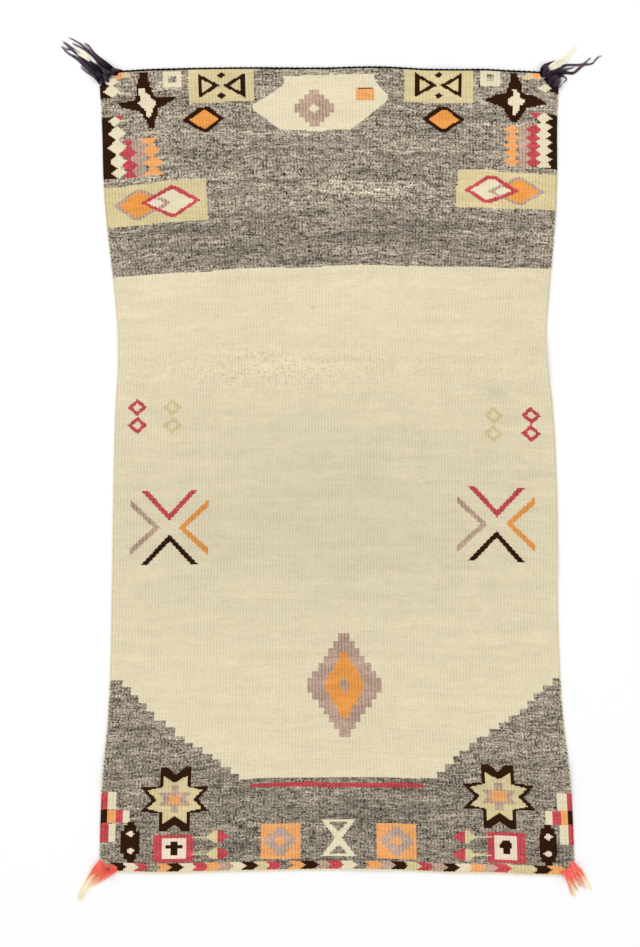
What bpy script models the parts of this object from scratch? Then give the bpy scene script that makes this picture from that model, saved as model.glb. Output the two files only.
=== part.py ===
"""Double saddle blanket of handspun wool, laid out flat with its four corner tassels.

The cloth is one tapestry-woven sheet. A twined cord runs along each of its four
edges, and a tassel is made up on each corner. All sizes below are millimetres in
the blanket's own frame: X across, Y towards the end with the dark cord, Z up,
with the origin at the centre of the underside.
"""
import math
import random

import bmesh
import bpy
from mathutils import Vector

MM = 0.001

# Cloth
CLOTH_THICKNESS = 3.5
CLOTH_COLUMNS = 36
CLOTH_ROWS = 64
CREAM_ABOVE = -492.0
CREAM_BELOW = 334.0

# Cords along the edges
END_CORD_DIAMETER = 4.2
SIDE_CORD_DIAMETER = 3.4
CORD_SIDES = 6
CORD_HOLLOW = 0.72
TWIST_TURN = 60.0
TWIST_STEPS = 4
GAP = 0.3

# Tassels
HEAD_LENGTH = 22.0
HEAD_ROWS = 4
HEAD_BULGE = 5.0
HEAD_CROWN = 7.5
LOCK_HEIGHT = 2.4
LOCK_TO_SPACE = 2.6
LOCK_TIP_SHARE = 0.3
LOCK_STEPS = 6
WAVE_LENGTH = 46.0

# Outer edges of the blanket, cords included, as it lies: the waist is drawn in
# and the lower corners flare.
SIDE_EDGES = (
    {"y": 668, "left": -393.0, "right": 370.0},
    {"y": 580, "left": -387.5, "right": 366.0},
    {"y": 448, "left": -383.0, "right": 365.0},
    {"y": 316, "left": -369.0, "right": 355.0},
    {"y": 208, "left": -360.0, "right": 348.0},
    {"y": 101, "left": -365.5, "right": 359.5},
    {"y": -47, "left": -369.0, "right": 366.5},
    {"y": -212, "left": -371.5, "right": 367.0},
    {"y": -377, "left": -375.5, "right": 373.5},
    {"y": -525, "left": -387.5, "right": 389.0},
    {"y": -668, "left": -392.0, "right": 395.5},
)
END_EDGES = (
    {"across": 0.00, "top": 660.0, "bottom": -661.0},
    {"across": 0.11, "top": 665.0, "bottom": -664.0},
    {"across": 0.31, "top": 668.0, "bottom": -661.0},
    {"across": 0.48, "top": 667.5, "bottom": -659.0},
    {"across": 0.61, "top": 669.5, "bottom": -659.5},
    {"across": 0.74, "top": 664.5, "bottom": -664.0},
    {"across": 0.83, "top": 665.5, "bottom": -664.5},
    {"across": 0.92, "top": 662.0, "bottom": -667.5},
    {"across": 1.00, "top": 660.0, "bottom": -668.0},
)

# Soft buckles, where the cloth stands a little off the surface: centre, turn of
# the ridge from +X in degrees, half length, half width and height.
BUCKLES = (
    {"x": 346, "y": 188, "turn": 8, "long": 130, "wide": 58, "high": 4.0},
    {"x": -362, "y": 216, "turn": -6, "long": 125, "wide": 60, "high": 3.2},
    {"x": 30, "y": 452, "turn": -2, "long": 240, "wide": 42, "high": 1.8},
    {"x": -30, "y": 172, "turn": 1, "long": 260, "wide": 40, "high": 1.2},
    {"x": -386, "y": -498, "turn": 35, "long": 115, "wide": 52, "high": 3.0},
    {"x": 388, "y": -506, "turn": -30, "long": 120, "wide": 52, "high": 3.4},
    {"x": 366, "y": -150, "turn": 4, "long": 90, "wide": 60, "high": 2.0},
    {"x": 60, "y": -656, "turn": 88, "long": 75, "wide": 60, "high": 2.2},
    {"x": 178, "y": 662, "turn": 80, "long": 70, "wide": 50, "high": 2.4},
)

# Tassels: corner of the cloth as shares across and up, direction in degrees from
# +X, number of locks, width of the bundle at head and tips, longest and shortest
# lock, share across the bundle where the longest lies, side wave and seed.
TASSELS = (
    {"name": "tassel_top_left", "across": 0, "up": 1, "turn": 145, "locks": 11,
     "head_wide": 33, "tips_wide": 46, "longest": 76, "shortest": 34, "peak": 0.42,
     "wave": 1.5, "seed": 3, "wool": "navy"},
    {"name": "tassel_top_right", "across": 1, "up": 1, "turn": 27, "locks": 10,
     "head_wide": 30, "tips_wide": 62, "longest": 66, "shortest": 15, "peak": 0.48,
     "wave": 2.2, "seed": 8, "wool": "navy"},
    {"name": "tassel_bottom_left", "across": 0, "up": 0, "turn": 232, "locks": 7,
     "head_wide": 24, "tips_wide": 12, "longest": 54, "shortest": 34, "peak": 0.5,
     "wave": 0.8, "seed": 5, "wool": "coral"},
    {"name": "tassel_bottom_right", "across": 1, "up": 0, "turn": 297, "locks": 10,
     "head_wide": 28, "tips_wide": 44, "longest": 42, "shortest": 24, "peak": 0.45,
     "wave": 1.2, "seed": 6, "wool": "coral"},
)

WOOLS = {
    "cream": "DDD1B0",
    "grey": "8F8475",
    "navy": "1C1828",
    "coral": "F27A62",
}


def linear(hex_colour):
    """Linear RGBA from an sRGB hex colour."""
    channels = [int(hex_colour[i:i + 2], 16) / 255 for i in (0, 2, 4)]
    bent = [c / 12.92 if c <= 0.04045 else ((c + 0.055) / 1.055) ** 2.4 for c in channels]
    return (*bent, 1.0)


def wool(name, colour):
    """A matt wool finish in one of the yarn colours."""
    material = bpy.data.materials.new(name)
    material.use_nodes = True
    shader = material.node_tree.nodes["Principled BSDF"]
    shader.inputs["Base Color"].default_value = linear(WOOLS[colour])
    shader.inputs["Roughness"].default_value = 0.95
    shader.inputs["Metallic"].default_value = 0.0
    material.diffuse_color = linear(WOOLS[colour])
    return material


def mix(start, end, share):
    return start + (end - start) * share


def curve(rows, key, value, where):
    """Smooth curve through a table: column value against column key."""
    rows = sorted(rows, key=lambda row: row[key])
    last = len(rows) - 1
    place = 0
    while place < last - 1 and rows[place + 1][key] < where:
        place += 1
    before, after = rows[place], rows[place + 1]
    earlier, later = rows[max(place - 1, 0)], rows[min(place + 2, last)]
    span = after[key] - before[key]
    slope_in = (after[value] - earlier[value]) / (after[key] - earlier[key]) * span
    slope_out = (later[value] - before[value]) / (later[key] - before[key]) * span
    t = min(max((where - before[key]) / span, 0.0), 1.0)
    rise = before[value] * (2 * t**3 - 3 * t**2 + 1) + after[value] * (3 * t**2 - 2 * t**3)
    return rise + slope_in * (t**3 - 2 * t**2 + t) + slope_out * (t**3 - t**2)


def lift(x, y):
    """Height of the underside over the surface that the blanket lies on."""
    height = 0.0
    for buckle in BUCKLES:
        turn = math.radians(buckle["turn"])
        from_x = x - buckle["x"]
        from_y = y - buckle["y"]
        along = (from_x * math.cos(turn) + from_y * math.sin(turn)) / buckle["long"]
        aside = (from_y * math.cos(turn) - from_x * math.sin(turn)) / buckle["wide"]
        reach = math.hypot(along, aside)
        if reach < 1.0:
            height += buckle["high"] * math.cos(math.pi / 2 * reach) ** 2
    return height


def plan_point(across, up, side_inset=0.0, end_inset=0.0):
    """Point of the plan at shares across and up, with all edges drawn in by the insets."""
    top = curve(END_EDGES, "across", "top", across) - end_inset
    bottom = curve(END_EDGES, "across", "bottom", across) + end_inset
    y = mix(bottom, top, up)
    left = curve(SIDE_EDGES, "y", "left", y) + side_inset
    right = curve(SIDE_EDGES, "y", "right", y) - side_inset
    return Vector((mix(left, right, across), y))


def cloth_point(column, row):
    return plan_point(column / CLOTH_COLUMNS, row / CLOTH_ROWS,
                      SIDE_CORD_DIAMETER + GAP, END_CORD_DIAMETER + GAP)


def add_object(name, mesh_data, materials, smooth_angle=None):
    """Turn a finished bmesh, in millimetres, into an object in metres."""
    bmesh.ops.recalc_face_normals(mesh_data, faces=mesh_data.faces)
    bmesh.ops.scale(mesh_data, vec=(MM, MM, MM), verts=mesh_data.verts)
    mesh = bpy.data.meshes.new(name)
    mesh_data.to_mesh(mesh)
    mesh_data.free()
    for material in materials:
        mesh.materials.append(material)
    if smooth_angle is not None:
        mesh.shade_smooth()
        mesh.set_sharp_from_angle(angle=math.radians(smooth_angle))
    thing = bpy.data.objects.new(name, mesh)
    bpy.context.collection.objects.link(thing)
    return thing


def make_cloth():
    """The woven sheet: a grid along warp and weft, with its four corners cut across."""
    sheet = bmesh.new()
    lower = {}
    upper = {}
    for row in range(CLOTH_ROWS + 1):
        for column in range(CLOTH_COLUMNS + 1):
            if row in (0, CLOTH_ROWS) and column in (0, CLOTH_COLUMNS):
                continue
            place = cloth_point(column, row)
            height = lift(place.x, place.y)
            lower[column, row] = sheet.verts.new((place.x, place.y, height))
            upper[column, row] = sheet.verts.new((place.x, place.y, height + CLOTH_THICKNESS))
    for row in range(CLOTH_ROWS):
        for column in range(CLOTH_COLUMNS):
            cell = ((column, row), (column + 1, row), (column + 1, row + 1), (column, row + 1))
            for layer in (lower, upper):
                face = sheet.faces.new([layer[corner] for corner in cell if corner in layer])
                middle = face.calc_center_median().y
                face.material_index = 0 if CREAM_ABOVE < middle < CREAM_BELOW else 1
    pair = {lower[key]: upper[key] for key in lower}
    rim = [edge for edge in sheet.edges if len(edge.link_faces) == 1 and edge.verts[0] in pair]
    for edge in rim:
        start, end = edge.verts
        face = sheet.faces.new((start, end, pair[end], pair[start]))
        face.material_index = edge.link_faces[0].material_index
    materials = (wool("cream_weft", "cream"), wool("grey_weft", "grey"))
    return add_object("woven_cloth", sheet, materials, smooth_angle=40)


def make_cord(name, route, diameter, colour, twist_steps=1, hollow=1.0):
    """A cord along an edge, resting at the height of the cloth beside it.

    The route is a list of plan points. Each of its stretches takes twist_steps rings.
    A twined cord has two plies: its section is drawn in between them, and turns.
    """
    cord = bmesh.new()
    radius = diameter / 2
    rings = []
    for place in range((len(route) - 1) * twist_steps + 1):
        before = min(place // twist_steps, len(route) - 2)
        start, end = route[before], route[before + 1]
        share = place / twist_steps - before
        point = start.lerp(end, share)
        height = mix(lift(start.x, start.y), lift(end.x, end.y), share)
        sideways = Vector((start.y - end.y, end.x - start.x)).normalized()
        turned = math.radians(TWIST_TURN) * place if twist_steps > 1 else 0.0
        ring = []
        for side in range(CORD_SIDES):
            angle = 2 * math.pi * side / CORD_SIDES + turned
            reach = radius if side % (CORD_SIDES // 2) == 0 else radius * hollow
            out = sideways * reach * math.cos(angle)
            ring.append(cord.verts.new((point.x + out.x, point.y + out.y,
                                        height + radius + reach * math.sin(angle))))
        rings.append(ring)
    for ring, following in zip(rings, rings[1:]):
        for side in range(CORD_SIDES):
            after = (side + 1) % CORD_SIDES
            cord.faces.new((ring[side], ring[after], following[after], following[side]))
    cord.faces.new(rings[0])
    cord.faces.new(rings[-1])
    return add_object(name, cord, (wool(name + "_wool", colour),), smooth_angle=60)


def make_end_cord(name, up, colour):
    half = END_CORD_DIAMETER / 2
    route = [plan_point(step / CLOTH_COLUMNS, up, SIDE_CORD_DIAMETER + GAP, half)
             for step in range(1, CLOTH_COLUMNS)]
    return make_cord(name, route, END_CORD_DIAMETER, colour, TWIST_STEPS, CORD_HOLLOW)


def make_side_cord(name, across, colour):
    half = SIDE_CORD_DIAMETER / 2
    route = [plan_point(across, step / CLOTH_ROWS, half, END_CORD_DIAMETER + GAP)
             for step in range(1, CLOTH_ROWS)]
    return make_cord(name, route, SIDE_CORD_DIAMETER, colour)


def lock_edges(count):
    """Places across the bundle, from -1 to 1, of both edges of each lock in turn."""
    whole = count * LOCK_TO_SPACE + count - 1
    places = []
    reached = 0.0
    for _ in range(count):
        places.append(2 * reached / whole - 1)
        reached += LOCK_TO_SPACE
        places.append(2 * reached / whole - 1)
        reached += 1
    return places


def make_tassel(row):
    """A low bound head on the cut corner of the cloth, with wavy locks lying on the surface."""
    random.seed(row["seed"])
    tassel = bmesh.new()

    column_beside = 1 if row["across"] == 0 else CLOTH_COLUMNS - 1
    row_beside = 1 if row["up"] == 0 else CLOTH_ROWS - 1
    on_end = cloth_point(column_beside, row["up"] * CLOTH_ROWS)
    on_side = cloth_point(row["across"] * CLOTH_COLUMNS, row_beside)
    turn = math.radians(row["turn"])
    ahead = Vector((math.cos(turn), math.sin(turn)))
    aside = Vector((-ahead.y, ahead.x))
    cut = (on_side - on_end).normalized()
    if cut.dot(aside) < 0:
        cut = -cut
    outward = Vector((cut.y, -cut.x))
    root = (on_end + on_side) / 2 + outward * GAP
    root_half = (on_side - on_end).length / 2 - END_CORD_DIAMETER / 2

    edges = lock_edges(row["locks"])

    def head_point(along, place):
        across = cut.lerp(aside, along).normalized()
        half = mix(root_half, row["head_wide"] / 2, along)
        bulge = HEAD_BULGE * along * (1 - place * place)
        return root + ahead * (HEAD_LENGTH * along + bulge) + across * half * place

    def head_height(along, place):
        crown = HEAD_CROWN * math.sin(math.pi * along) * (1 - place * place)
        return LOCK_HEIGHT + max(crown, 0.0)

    lower = []
    upper = []
    for step in range(HEAD_ROWS + 1):
        along = step / HEAD_ROWS
        points = [head_point(along, place) for place in edges]
        heights = [head_height(along, place) for place in edges]
        lower.append([tassel.verts.new((p.x, p.y, 0.0)) for p in points])
        upper.append([tassel.verts.new((p.x, p.y, h)) for p, h in zip(points, heights)])
    cells = range(len(edges) - 1)
    for step in range(HEAD_ROWS):
        for cell in cells:
            for layer in (lower, upper):
                tassel.faces.new((layer[step][cell], layer[step][cell + 1],
                                  layer[step + 1][cell + 1], layer[step + 1][cell]))
        for flank in (0, len(edges) - 1):
            tassel.faces.new((lower[step][flank], lower[step + 1][flank],
                              upper[step + 1][flank], upper[step][flank]))
    for cell in cells:
        tassel.faces.new((lower[0][cell], lower[0][cell + 1], upper[0][cell + 1], upper[0][cell]))

    front_low = lower[-1]
    front_high = upper[-1]
    for cell in cells:
        ring = [front_low[cell], front_low[cell + 1], front_high[cell + 1], front_high[cell]]
        if cell % 2:
            tassel.faces.new(ring)
            continue
        middle = (edges[cell] + edges[cell + 1]) / 2
        root_width = (front_low[cell + 1].co - front_low[cell].co).length
        start = head_point(1.0, middle)
        share = abs((middle + 1) / 2 - row["peak"]) / max(row["peak"], 1 - row["peak"])
        length = mix(row["longest"], row["shortest"], share) * random.uniform(0.86, 1.0)
        for step in range(1, LOCK_STEPS + 1):
            along = step / LOCK_STEPS
            distance = length * along
            spread = (row["tips_wide"] - row["head_wide"]) / 2 * distance / row["longest"]
            phase = 2 * math.pi * distance / WAVE_LENGTH + middle + row["seed"]
            wave = row["wave"] * along * math.sin(phase)
            centre = start + ahead * distance + aside * (spread * middle + wave)
            half = root_width / 2 * mix(1.0, LOCK_TIP_SHARE, along)
            high = LOCK_HEIGHT * mix(1.0, LOCK_TIP_SHARE, along)
            low_side = centre - aside * half
            high_side = centre + aside * half
            following = [
                tassel.verts.new((low_side.x, low_side.y, 0.0)),
                tassel.verts.new((high_side.x, high_side.y, 0.0)),
                tassel.verts.new((high_side.x, high_side.y, high)),
                tassel.verts.new((low_side.x, low_side.y, high)),
            ]
            for side in range(4):
                after = (side + 1) % 4
                tassel.faces.new((ring[side], ring[after], following[after], following[side]))
            ring = following
        tassel.faces.new(ring)
    return add_object(row["name"], tassel, (wool(row["name"] + "_wool", row["wool"]),), 40)


def main():
    for thing in list(bpy.data.objects):
        bpy.data.objects.remove(thing, do_unlink=True)
    make_cloth()
    make_end_cord("end_cord_top", 1, "navy")
    make_end_cord("end_cord_bottom", 0, "cream")
    make_side_cord("side_cord_left", 0, "cream")
    make_side_cord("side_cord_right", 1, "cream")
    for row in TASSELS:
        make_tassel(row)


main()
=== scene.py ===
"""Double saddle blanket of handspun wool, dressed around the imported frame.

Every size in the tables is in millimetres, in the blanket's own frame: X across it,
Y along it towards the dark end cord, Z up, with the origin at the centre of the
underside. The cloth is woven cell by cell: a cell is one warp wide and one row of
weft high, and holds the yarn that shows there on both faces.
"""
import math
import random

import bpy
import numpy as np
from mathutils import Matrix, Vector
from mathutils.bvhtree import BVHTree


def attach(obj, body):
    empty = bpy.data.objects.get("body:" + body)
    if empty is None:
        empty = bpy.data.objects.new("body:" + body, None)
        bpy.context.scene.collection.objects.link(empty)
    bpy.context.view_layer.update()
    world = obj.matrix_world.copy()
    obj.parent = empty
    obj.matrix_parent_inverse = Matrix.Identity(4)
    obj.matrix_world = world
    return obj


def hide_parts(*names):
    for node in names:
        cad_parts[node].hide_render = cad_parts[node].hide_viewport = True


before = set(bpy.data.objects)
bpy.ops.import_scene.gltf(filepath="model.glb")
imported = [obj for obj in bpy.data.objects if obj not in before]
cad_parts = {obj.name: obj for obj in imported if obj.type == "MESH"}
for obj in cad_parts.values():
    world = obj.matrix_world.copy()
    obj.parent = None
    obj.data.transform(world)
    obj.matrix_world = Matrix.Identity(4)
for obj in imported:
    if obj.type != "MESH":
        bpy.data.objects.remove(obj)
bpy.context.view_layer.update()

MM = 0.001

# Camera: straight above, as the blanket is shown
PICTURE_HIGH = 1562.6
PICTURE_CENTRE = (-26.4, -3.3)
CAMERA_HEIGHT = 3200.0
SENSOR = 36.0

# Cloth and its weave. A warp under the weft makes one rib. The blanket shows a faint
# repeat of 5 to 6 mm across its ribs; it is drawn as ribs of 2.8 mm with a deeper furrow
# at every second one, as if the warps had drawn together in pairs, which is a guess. A
# row is two picks of weft, the finest step that a stepped edge takes.
COLUMNS = 272
ROWS = 700
WARP_PITCH = 2.8
ROW_PITCH = 1.9
THICKNESS = 3.5
FURROW_DEEP = 0.85
FURROW_SHALLOW = 0.4
FACE_ROWS = 14
CORNER_COLUMNS = 7
CORNER_ROWS = 11

# Weft rows that dip towards a side edge: side, middle and reach along it, and depth
DIPS = (
    {"side": 0, "y": 365, "reach": 280, "dip": 14.0},
    {"side": 1, "y": 470, "reach": 180, "dip": 4.5},
)

# Grounds: the line where the cream field meets the upper grey band, and the steps and
# line where it meets the lower one, from left to right
FIELD_TOP = ((-397.6, 318.3), (-364.6, 320.9), (-325.0, 323.7), (-285.4, 325.9), (-245.8, 327.9),
             (-206.2, 330.3),
             (-166.6, 334.1), (-127.0, 335.8), (-47.8, 336.3), (-8.2, 339.1), (41.2, 341.5),
             (90.8, 339.1),
             (150.2, 338.6), (249.1, 336.9), (268.9, 335.8), (377.8, 335.3))
LEFT_STEPS = ((-351.4, -344.0), (-338.2, -354.8), (-325.0, -368.8), (-311.8, -382.8),
              (-298.6, -395.2), (-282.1, -410.0),
              (-265.6, -421.6), (-249.1, -436.4), (-235.9, -447.1), (-219.4, -455.4),
              (-202.9, -466.1), (-189.8, -474.4),
              (-173.2, -486.8), (-160.0, -498.3))
FIELD_FOOT = ((-160.0, -509.0), (-141.9, -507.0), (-125.4, -504.9), (-108.9, -504.1),
              (-59.4, -505.2), (-42.9, -504.1),
              (105.6, -504.1), (138.6, -505.7), (166.6, -506.2))
RIGHT_STEPS = ((179.8, -495.0), (193.0, -481.8), (202.9, -469.4), (219.4, -459.5), (233.5, -447.1),
               (252.4, -438.1),
               (268.9, -424.9), (285.4, -413.3), (301.9, -402.6), (315.1, -391.9), (325.0, -378.7),
               (341.5, -364.6),
               (358.0, -353.1), (402.6, -339.9))


def linear(hex_colour):
    """Linear RGBA from an sRGB hex colour."""
    channels = [int(hex_colour[i:i + 2], 16) / 255 for i in (0, 2, 4)]
    bent = [c / 12.92 if c <= 0.04045 else ((c + 0.055) / 1.055) ** 2.4 for c in channels]
    return (*bent, 1.0)


def add_node(tree, kind, settings=(), links=()):
    """Add a node, with its settings by property or input, and its links by input."""
    node = tree.nodes.new(kind)
    for name, value in dict(settings).items():
        if isinstance(name, str) and hasattr(node, name):
            setattr(node, name, value)
        else:
            node.inputs[name].default_value = value
    for name, source in dict(links).items():
        tree.links.new(source, node.inputs[name])
    return node


# Form of the cloth

def surface_tree(node):
    """Search tree of a frame node's surface."""
    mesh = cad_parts[node].data
    return BVHTree.FromPolygons([v.co for v in mesh.vertices],
                                [tuple(p.vertices) for p in mesh.polygons])


def spline_weights(stations, places):
    """Weights that read a smooth curve through evenly spaced stations."""
    first = np.clip(places.astype(int), 0, stations - 2)
    t = places - first
    weights = np.zeros((len(places), stations))
    lines = np.arange(len(places))
    shares = (
        (-1, -0.5 * t + t**2 - 0.5 * t**3),
        (0, 1 - 2.5 * t**2 + 1.5 * t**3),
        (1, 0.5 * t + 2 * t**2 - 1.5 * t**3),
        (2, -0.5 * t**2 + 0.5 * t**3),
    )
    for step, share in shares:
        station = first + step
        before = station < 0
        beyond = station > stations - 1
        inside = ~before & ~beyond
        np.add.at(weights, (lines[inside], station[inside]), share[inside])
        for outside, near, next_one in ((before, 0, 1), (beyond, stations - 1, stations - 2)):
            np.add.at(weights, (lines[outside], near), 2 * share[outside])
            np.add.at(weights, (lines[outside], next_one), -share[outside])
    return weights


SIDE_STATIONS = 33
SIDE_REACH = 632.0
END_STATIONS = 17
END_FROM = 0.05
HEIGHTS_ACROSS, HEIGHTS_ALONG = 37, 65
PROBE_HEIGHTS = (0.6, 1.8, 2.9, 3.4, 4.6, 5.8, 7.0)
EDGE_INSET = 2.5


def outermost(tree, start, direction, axis):
    """Outermost point of the cloth's rim along a direction, seen at several heights."""
    found = []
    for height in PROBE_HEIGHTS:
        hit = tree.ray_cast(Vector((start[0], start[1], height)) * MM, Vector(direction))[0]
        if hit is not None:
            found.append(hit[axis] / MM)
    return min(found) if direction[axis] > 0 else max(found)


def read_form():
    """Plan and height of the cloth's lines and rows, from its solid in the frame.

    Lines run along the warp: even ones are the valleys between ribs, odd ones the
    crests. The result holds X, Y and the height of the underside, in millimetres.
    """
    tree = surface_tree("woven_cloth")
    side_y = np.linspace(-SIDE_REACH, SIDE_REACH, SIDE_STATIONS)
    left = np.array([outermost(tree, (-900, y), (1, 0, 0), 0) for y in side_y])
    right = np.array([outermost(tree, (900, y), (-1, 0, 0), 0) for y in side_y])
    end_share = np.linspace(END_FROM, 1 - END_FROM, END_STATIONS)

    def side_x(values, y):
        place = (y + SIDE_REACH) / (2 * SIDE_REACH) * (SIDE_STATIONS - 1)
        place = np.clip(np.ravel(place), -0.9, SIDE_STATIONS - 0.1)
        return (spline_weights(SIDE_STATIONS, place) @ values).reshape(np.shape(y))

    def end_y(direction):
        level = -direction * 655.0
        lefts, rights = side_x(left, np.array([level])), side_x(right, np.array([level]))
        found = []
        for share in end_share:
            x = float(lefts[0] + (rights[0] - lefts[0]) * share)
            found.append(outermost(tree, (x, -direction * 900), (0, direction, 0), 1))
        return np.array(found)

    across = np.linspace(0, 1, 2 * COLUMNS + 1)
    along = np.linspace(0, 1, ROWS + 1)
    place = (across - END_FROM) / (1 - 2 * END_FROM) * (END_STATIONS - 1)
    end_weights = spline_weights(END_STATIONS, place)
    bottom = end_weights @ end_y(1)
    top = end_weights @ end_y(-1)
    y = bottom[:, None] + (top - bottom)[:, None] * along[None, :]
    for dip in DIPS:
        nearness = np.clip(1 - np.abs((y - dip["y"]) / dip["reach"]), 0, 1)
        swell = nearness**2 * (3 - 2 * nearness)
        from_side = across if dip["side"] == 0 else 1 - across
        aside = np.clip(1 - 2 * from_side, 0, 1) ** 1.2
        y = y - dip["dip"] * swell * aside[:, None]
    lefts, rights = side_x(left, y), side_x(right, y)
    x = lefts + (rights - lefts) * across[:, None]

    height_across = np.linspace(0, 1, HEIGHTS_ACROSS)
    height_along = np.linspace(0, 1, HEIGHTS_ALONG)
    heights = np.zeros((HEIGHTS_ACROSS, HEIGHTS_ALONG))
    for i, share in enumerate(height_across):
        for j, up in enumerate(height_along):
            line = round(share * 2 * COLUMNS)
            row = round(up * ROWS)
            over = Vector((np.clip(x[line, row], lefts[line, row] + EDGE_INSET,
                                   rights[line, row] - EDGE_INSET),
                           np.clip(y[line, row], bottom[line] + EDGE_INSET,
                                   top[line] - EDGE_INSET), 100)) * MM
            hit = tree.ray_cast(over, Vector((0, 0, -1)))[0]
            heights[i, j] = 0.0 if hit is None else max(hit.z / MM - THICKNESS, 0.0)
    lift = (spline_weights(HEIGHTS_ACROSS, across * (HEIGHTS_ACROSS - 1)) @ heights
            @ spline_weights(HEIGHTS_ALONG, along * (HEIGHTS_ALONG - 1)).T)
    return x, y, np.clip(lift, 0.0, None)


line_x, line_y, lift = read_form()
cell_x = (line_x[1::2, :-1] + line_x[1::2, 1:]) / 2
cell_y = (line_y[1::2, :-1] + line_y[1::2, 1:]) / 2

# Pattern of the weave

YARNS = ("cream", "grey", "dark", "red", "orange", "lilac", "straw", "chalk", "apricot")
YARN = {name: place for place, name in enumerate(YARNS)}
NO_YARN = -1
woven = np.full((COLUMNS, ROWS), YARN["cream"])


def cell_at(x, y):
    """Column and row of the weave, with their fractions, at a point of the cloth."""
    column, row = np.unravel_index(np.argmin((cell_x - x)**2 + (cell_y - y)**2), cell_x.shape)
    return (column + 0.5 + (x - cell_x[column, row]) / WARP_PITCH,
            row + 0.5 + (y - cell_y[column, row]) / ROW_PITCH)


def fill(yarn, corners):
    """Weave the cells inside a closed outline, given as columns and rows."""
    corners = np.array(corners, float)
    low = np.clip(np.floor(corners.min(0)).astype(int), 0, None)
    high = np.ceil(corners.max(0)).astype(int) + 1
    high = np.minimum(high, (COLUMNS, ROWS))
    column, row = np.meshgrid(np.arange(low[0], high[0]) + 0.5,
                              np.arange(low[1], high[1]) + 0.5, indexing="ij")
    inside = np.zeros(column.shape, bool)
    for (x0, y0), (x1, y1) in zip(corners, np.roll(corners, -1, axis=0)):
        if y0 == y1:
            continue
        crosses = (y0 > row) != (y1 > row)
        inside ^= crosses & (column < x0 + (row - y0) * (x1 - x0) / (y1 - y0))
    part = woven[low[0]:high[0], low[1]:high[1]]
    part[inside] = YARN[yarn]


def weave(yarn, shape, x, y):
    """Weave a shape, given in millimetres round its own middle, at a point of the cloth."""
    column, row = cell_at(x, y)
    fill(yarn, [(column + dx / WARP_PITCH, row + dy / ROW_PITCH) for dx, dy in shape])


def weave_between(yarn, *points):
    """Weave the outline through points of the cloth, each carried to its own row."""
    fill(yarn, [cell_at(x, y) for x, y in points])


def diamond(wide, high):
    return ((-wide / 2, 0), (0, -high / 2), (wide / 2, 0), (0, high / 2))


def box(wide, high):
    return ((-wide / 2, -high / 2), (wide / 2, -high / 2),
            (wide / 2, high / 2), (-wide / 2, high / 2))


def hourglass(wide, high, waist):
    """Two triangles that meet at a waist."""
    return ((-wide / 2, -high / 2), (wide / 2, -high / 2), (waist / 2, 0),
            (wide / 2, high / 2), (-wide / 2, high / 2), (-waist / 2, 0))


def triangle(wide, high, up=1):
    return ((-wide / 2, -up * high / 2), (wide / 2, -up * high / 2), (0, up * high / 2))


def terrace(wide, high, steps):
    """A lozenge with stepped edges."""
    quarter = []
    for step in range(steps):
        quarter.append((wide / 2 * (steps - step) / steps, high / 2 * step / steps))
        quarter.append((wide / 2 * (steps - step) / steps, high / 2 * (step + 1) / steps))
    upper = quarter + [(-x, y) for x, y in reversed(quarter)]
    return upper + [(-x, -y) for x, y in upper]


def mirrored(quarter):
    """A closed shape from the part of it that lies right of and above its middle."""
    right = list(quarter) + [(x, -y) for x, y in reversed(quarter)]
    return right + [(-x, y) for x, y in reversed(right)]


def eight_star(wide, high, points):
    """A star of eight tips in pairs, from shares of its half width and half height."""
    return mirrored([(x * wide / 2, y * high / 2) for x, y in points])


def chevron(wide, high, stroke, quarter_turns):
    """An open V, turned by quarters of a circle."""
    shape = [(-wide / 2, high / 2), (0, -high / 2), (wide / 2, high / 2),
             (wide / 2 - stroke, high / 2), (0, stroke - high / 2), (stroke - wide / 2, high / 2)]
    for _ in range(quarter_turns):
        shape = [(-y, x) for x, y in shape]
    return shape


STAR_OUTER = ((0, 0.77), (0.25, 1.0), (0.46, 1.0), (0.44, 0.42), (1.0, 0.38), (0.67, 0))
STAR_INNER = ((0, 0.51), (0.35, 0.75), (0.36, 0.39), (0.79, 0.28), (0.52, 0))


def weave_grounds():
    """Grey bands at both ends of the cream field, the lower one with stepped corners."""
    weave_between("grey", *FIELD_TOP, (600.0, 900.0), (-600.0, 900.0))
    outline = [(-600.0, LEFT_STEPS[0][1])]
    for (x, y), (_, below) in zip(LEFT_STEPS, LEFT_STEPS[1:] + FIELD_FOOT[:1]):
        outline += [(x, y), (x, below)]
    outline += FIELD_FOOT
    for (x, y), (before, _) in zip(RIGHT_STEPS, FIELD_FOOT[-1:] + RIGHT_STEPS):
        outline += [(before, y), (x, y)]
    weave_between("grey", *outline, (600.0, -900.0), (-600.0, -900.0))


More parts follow.
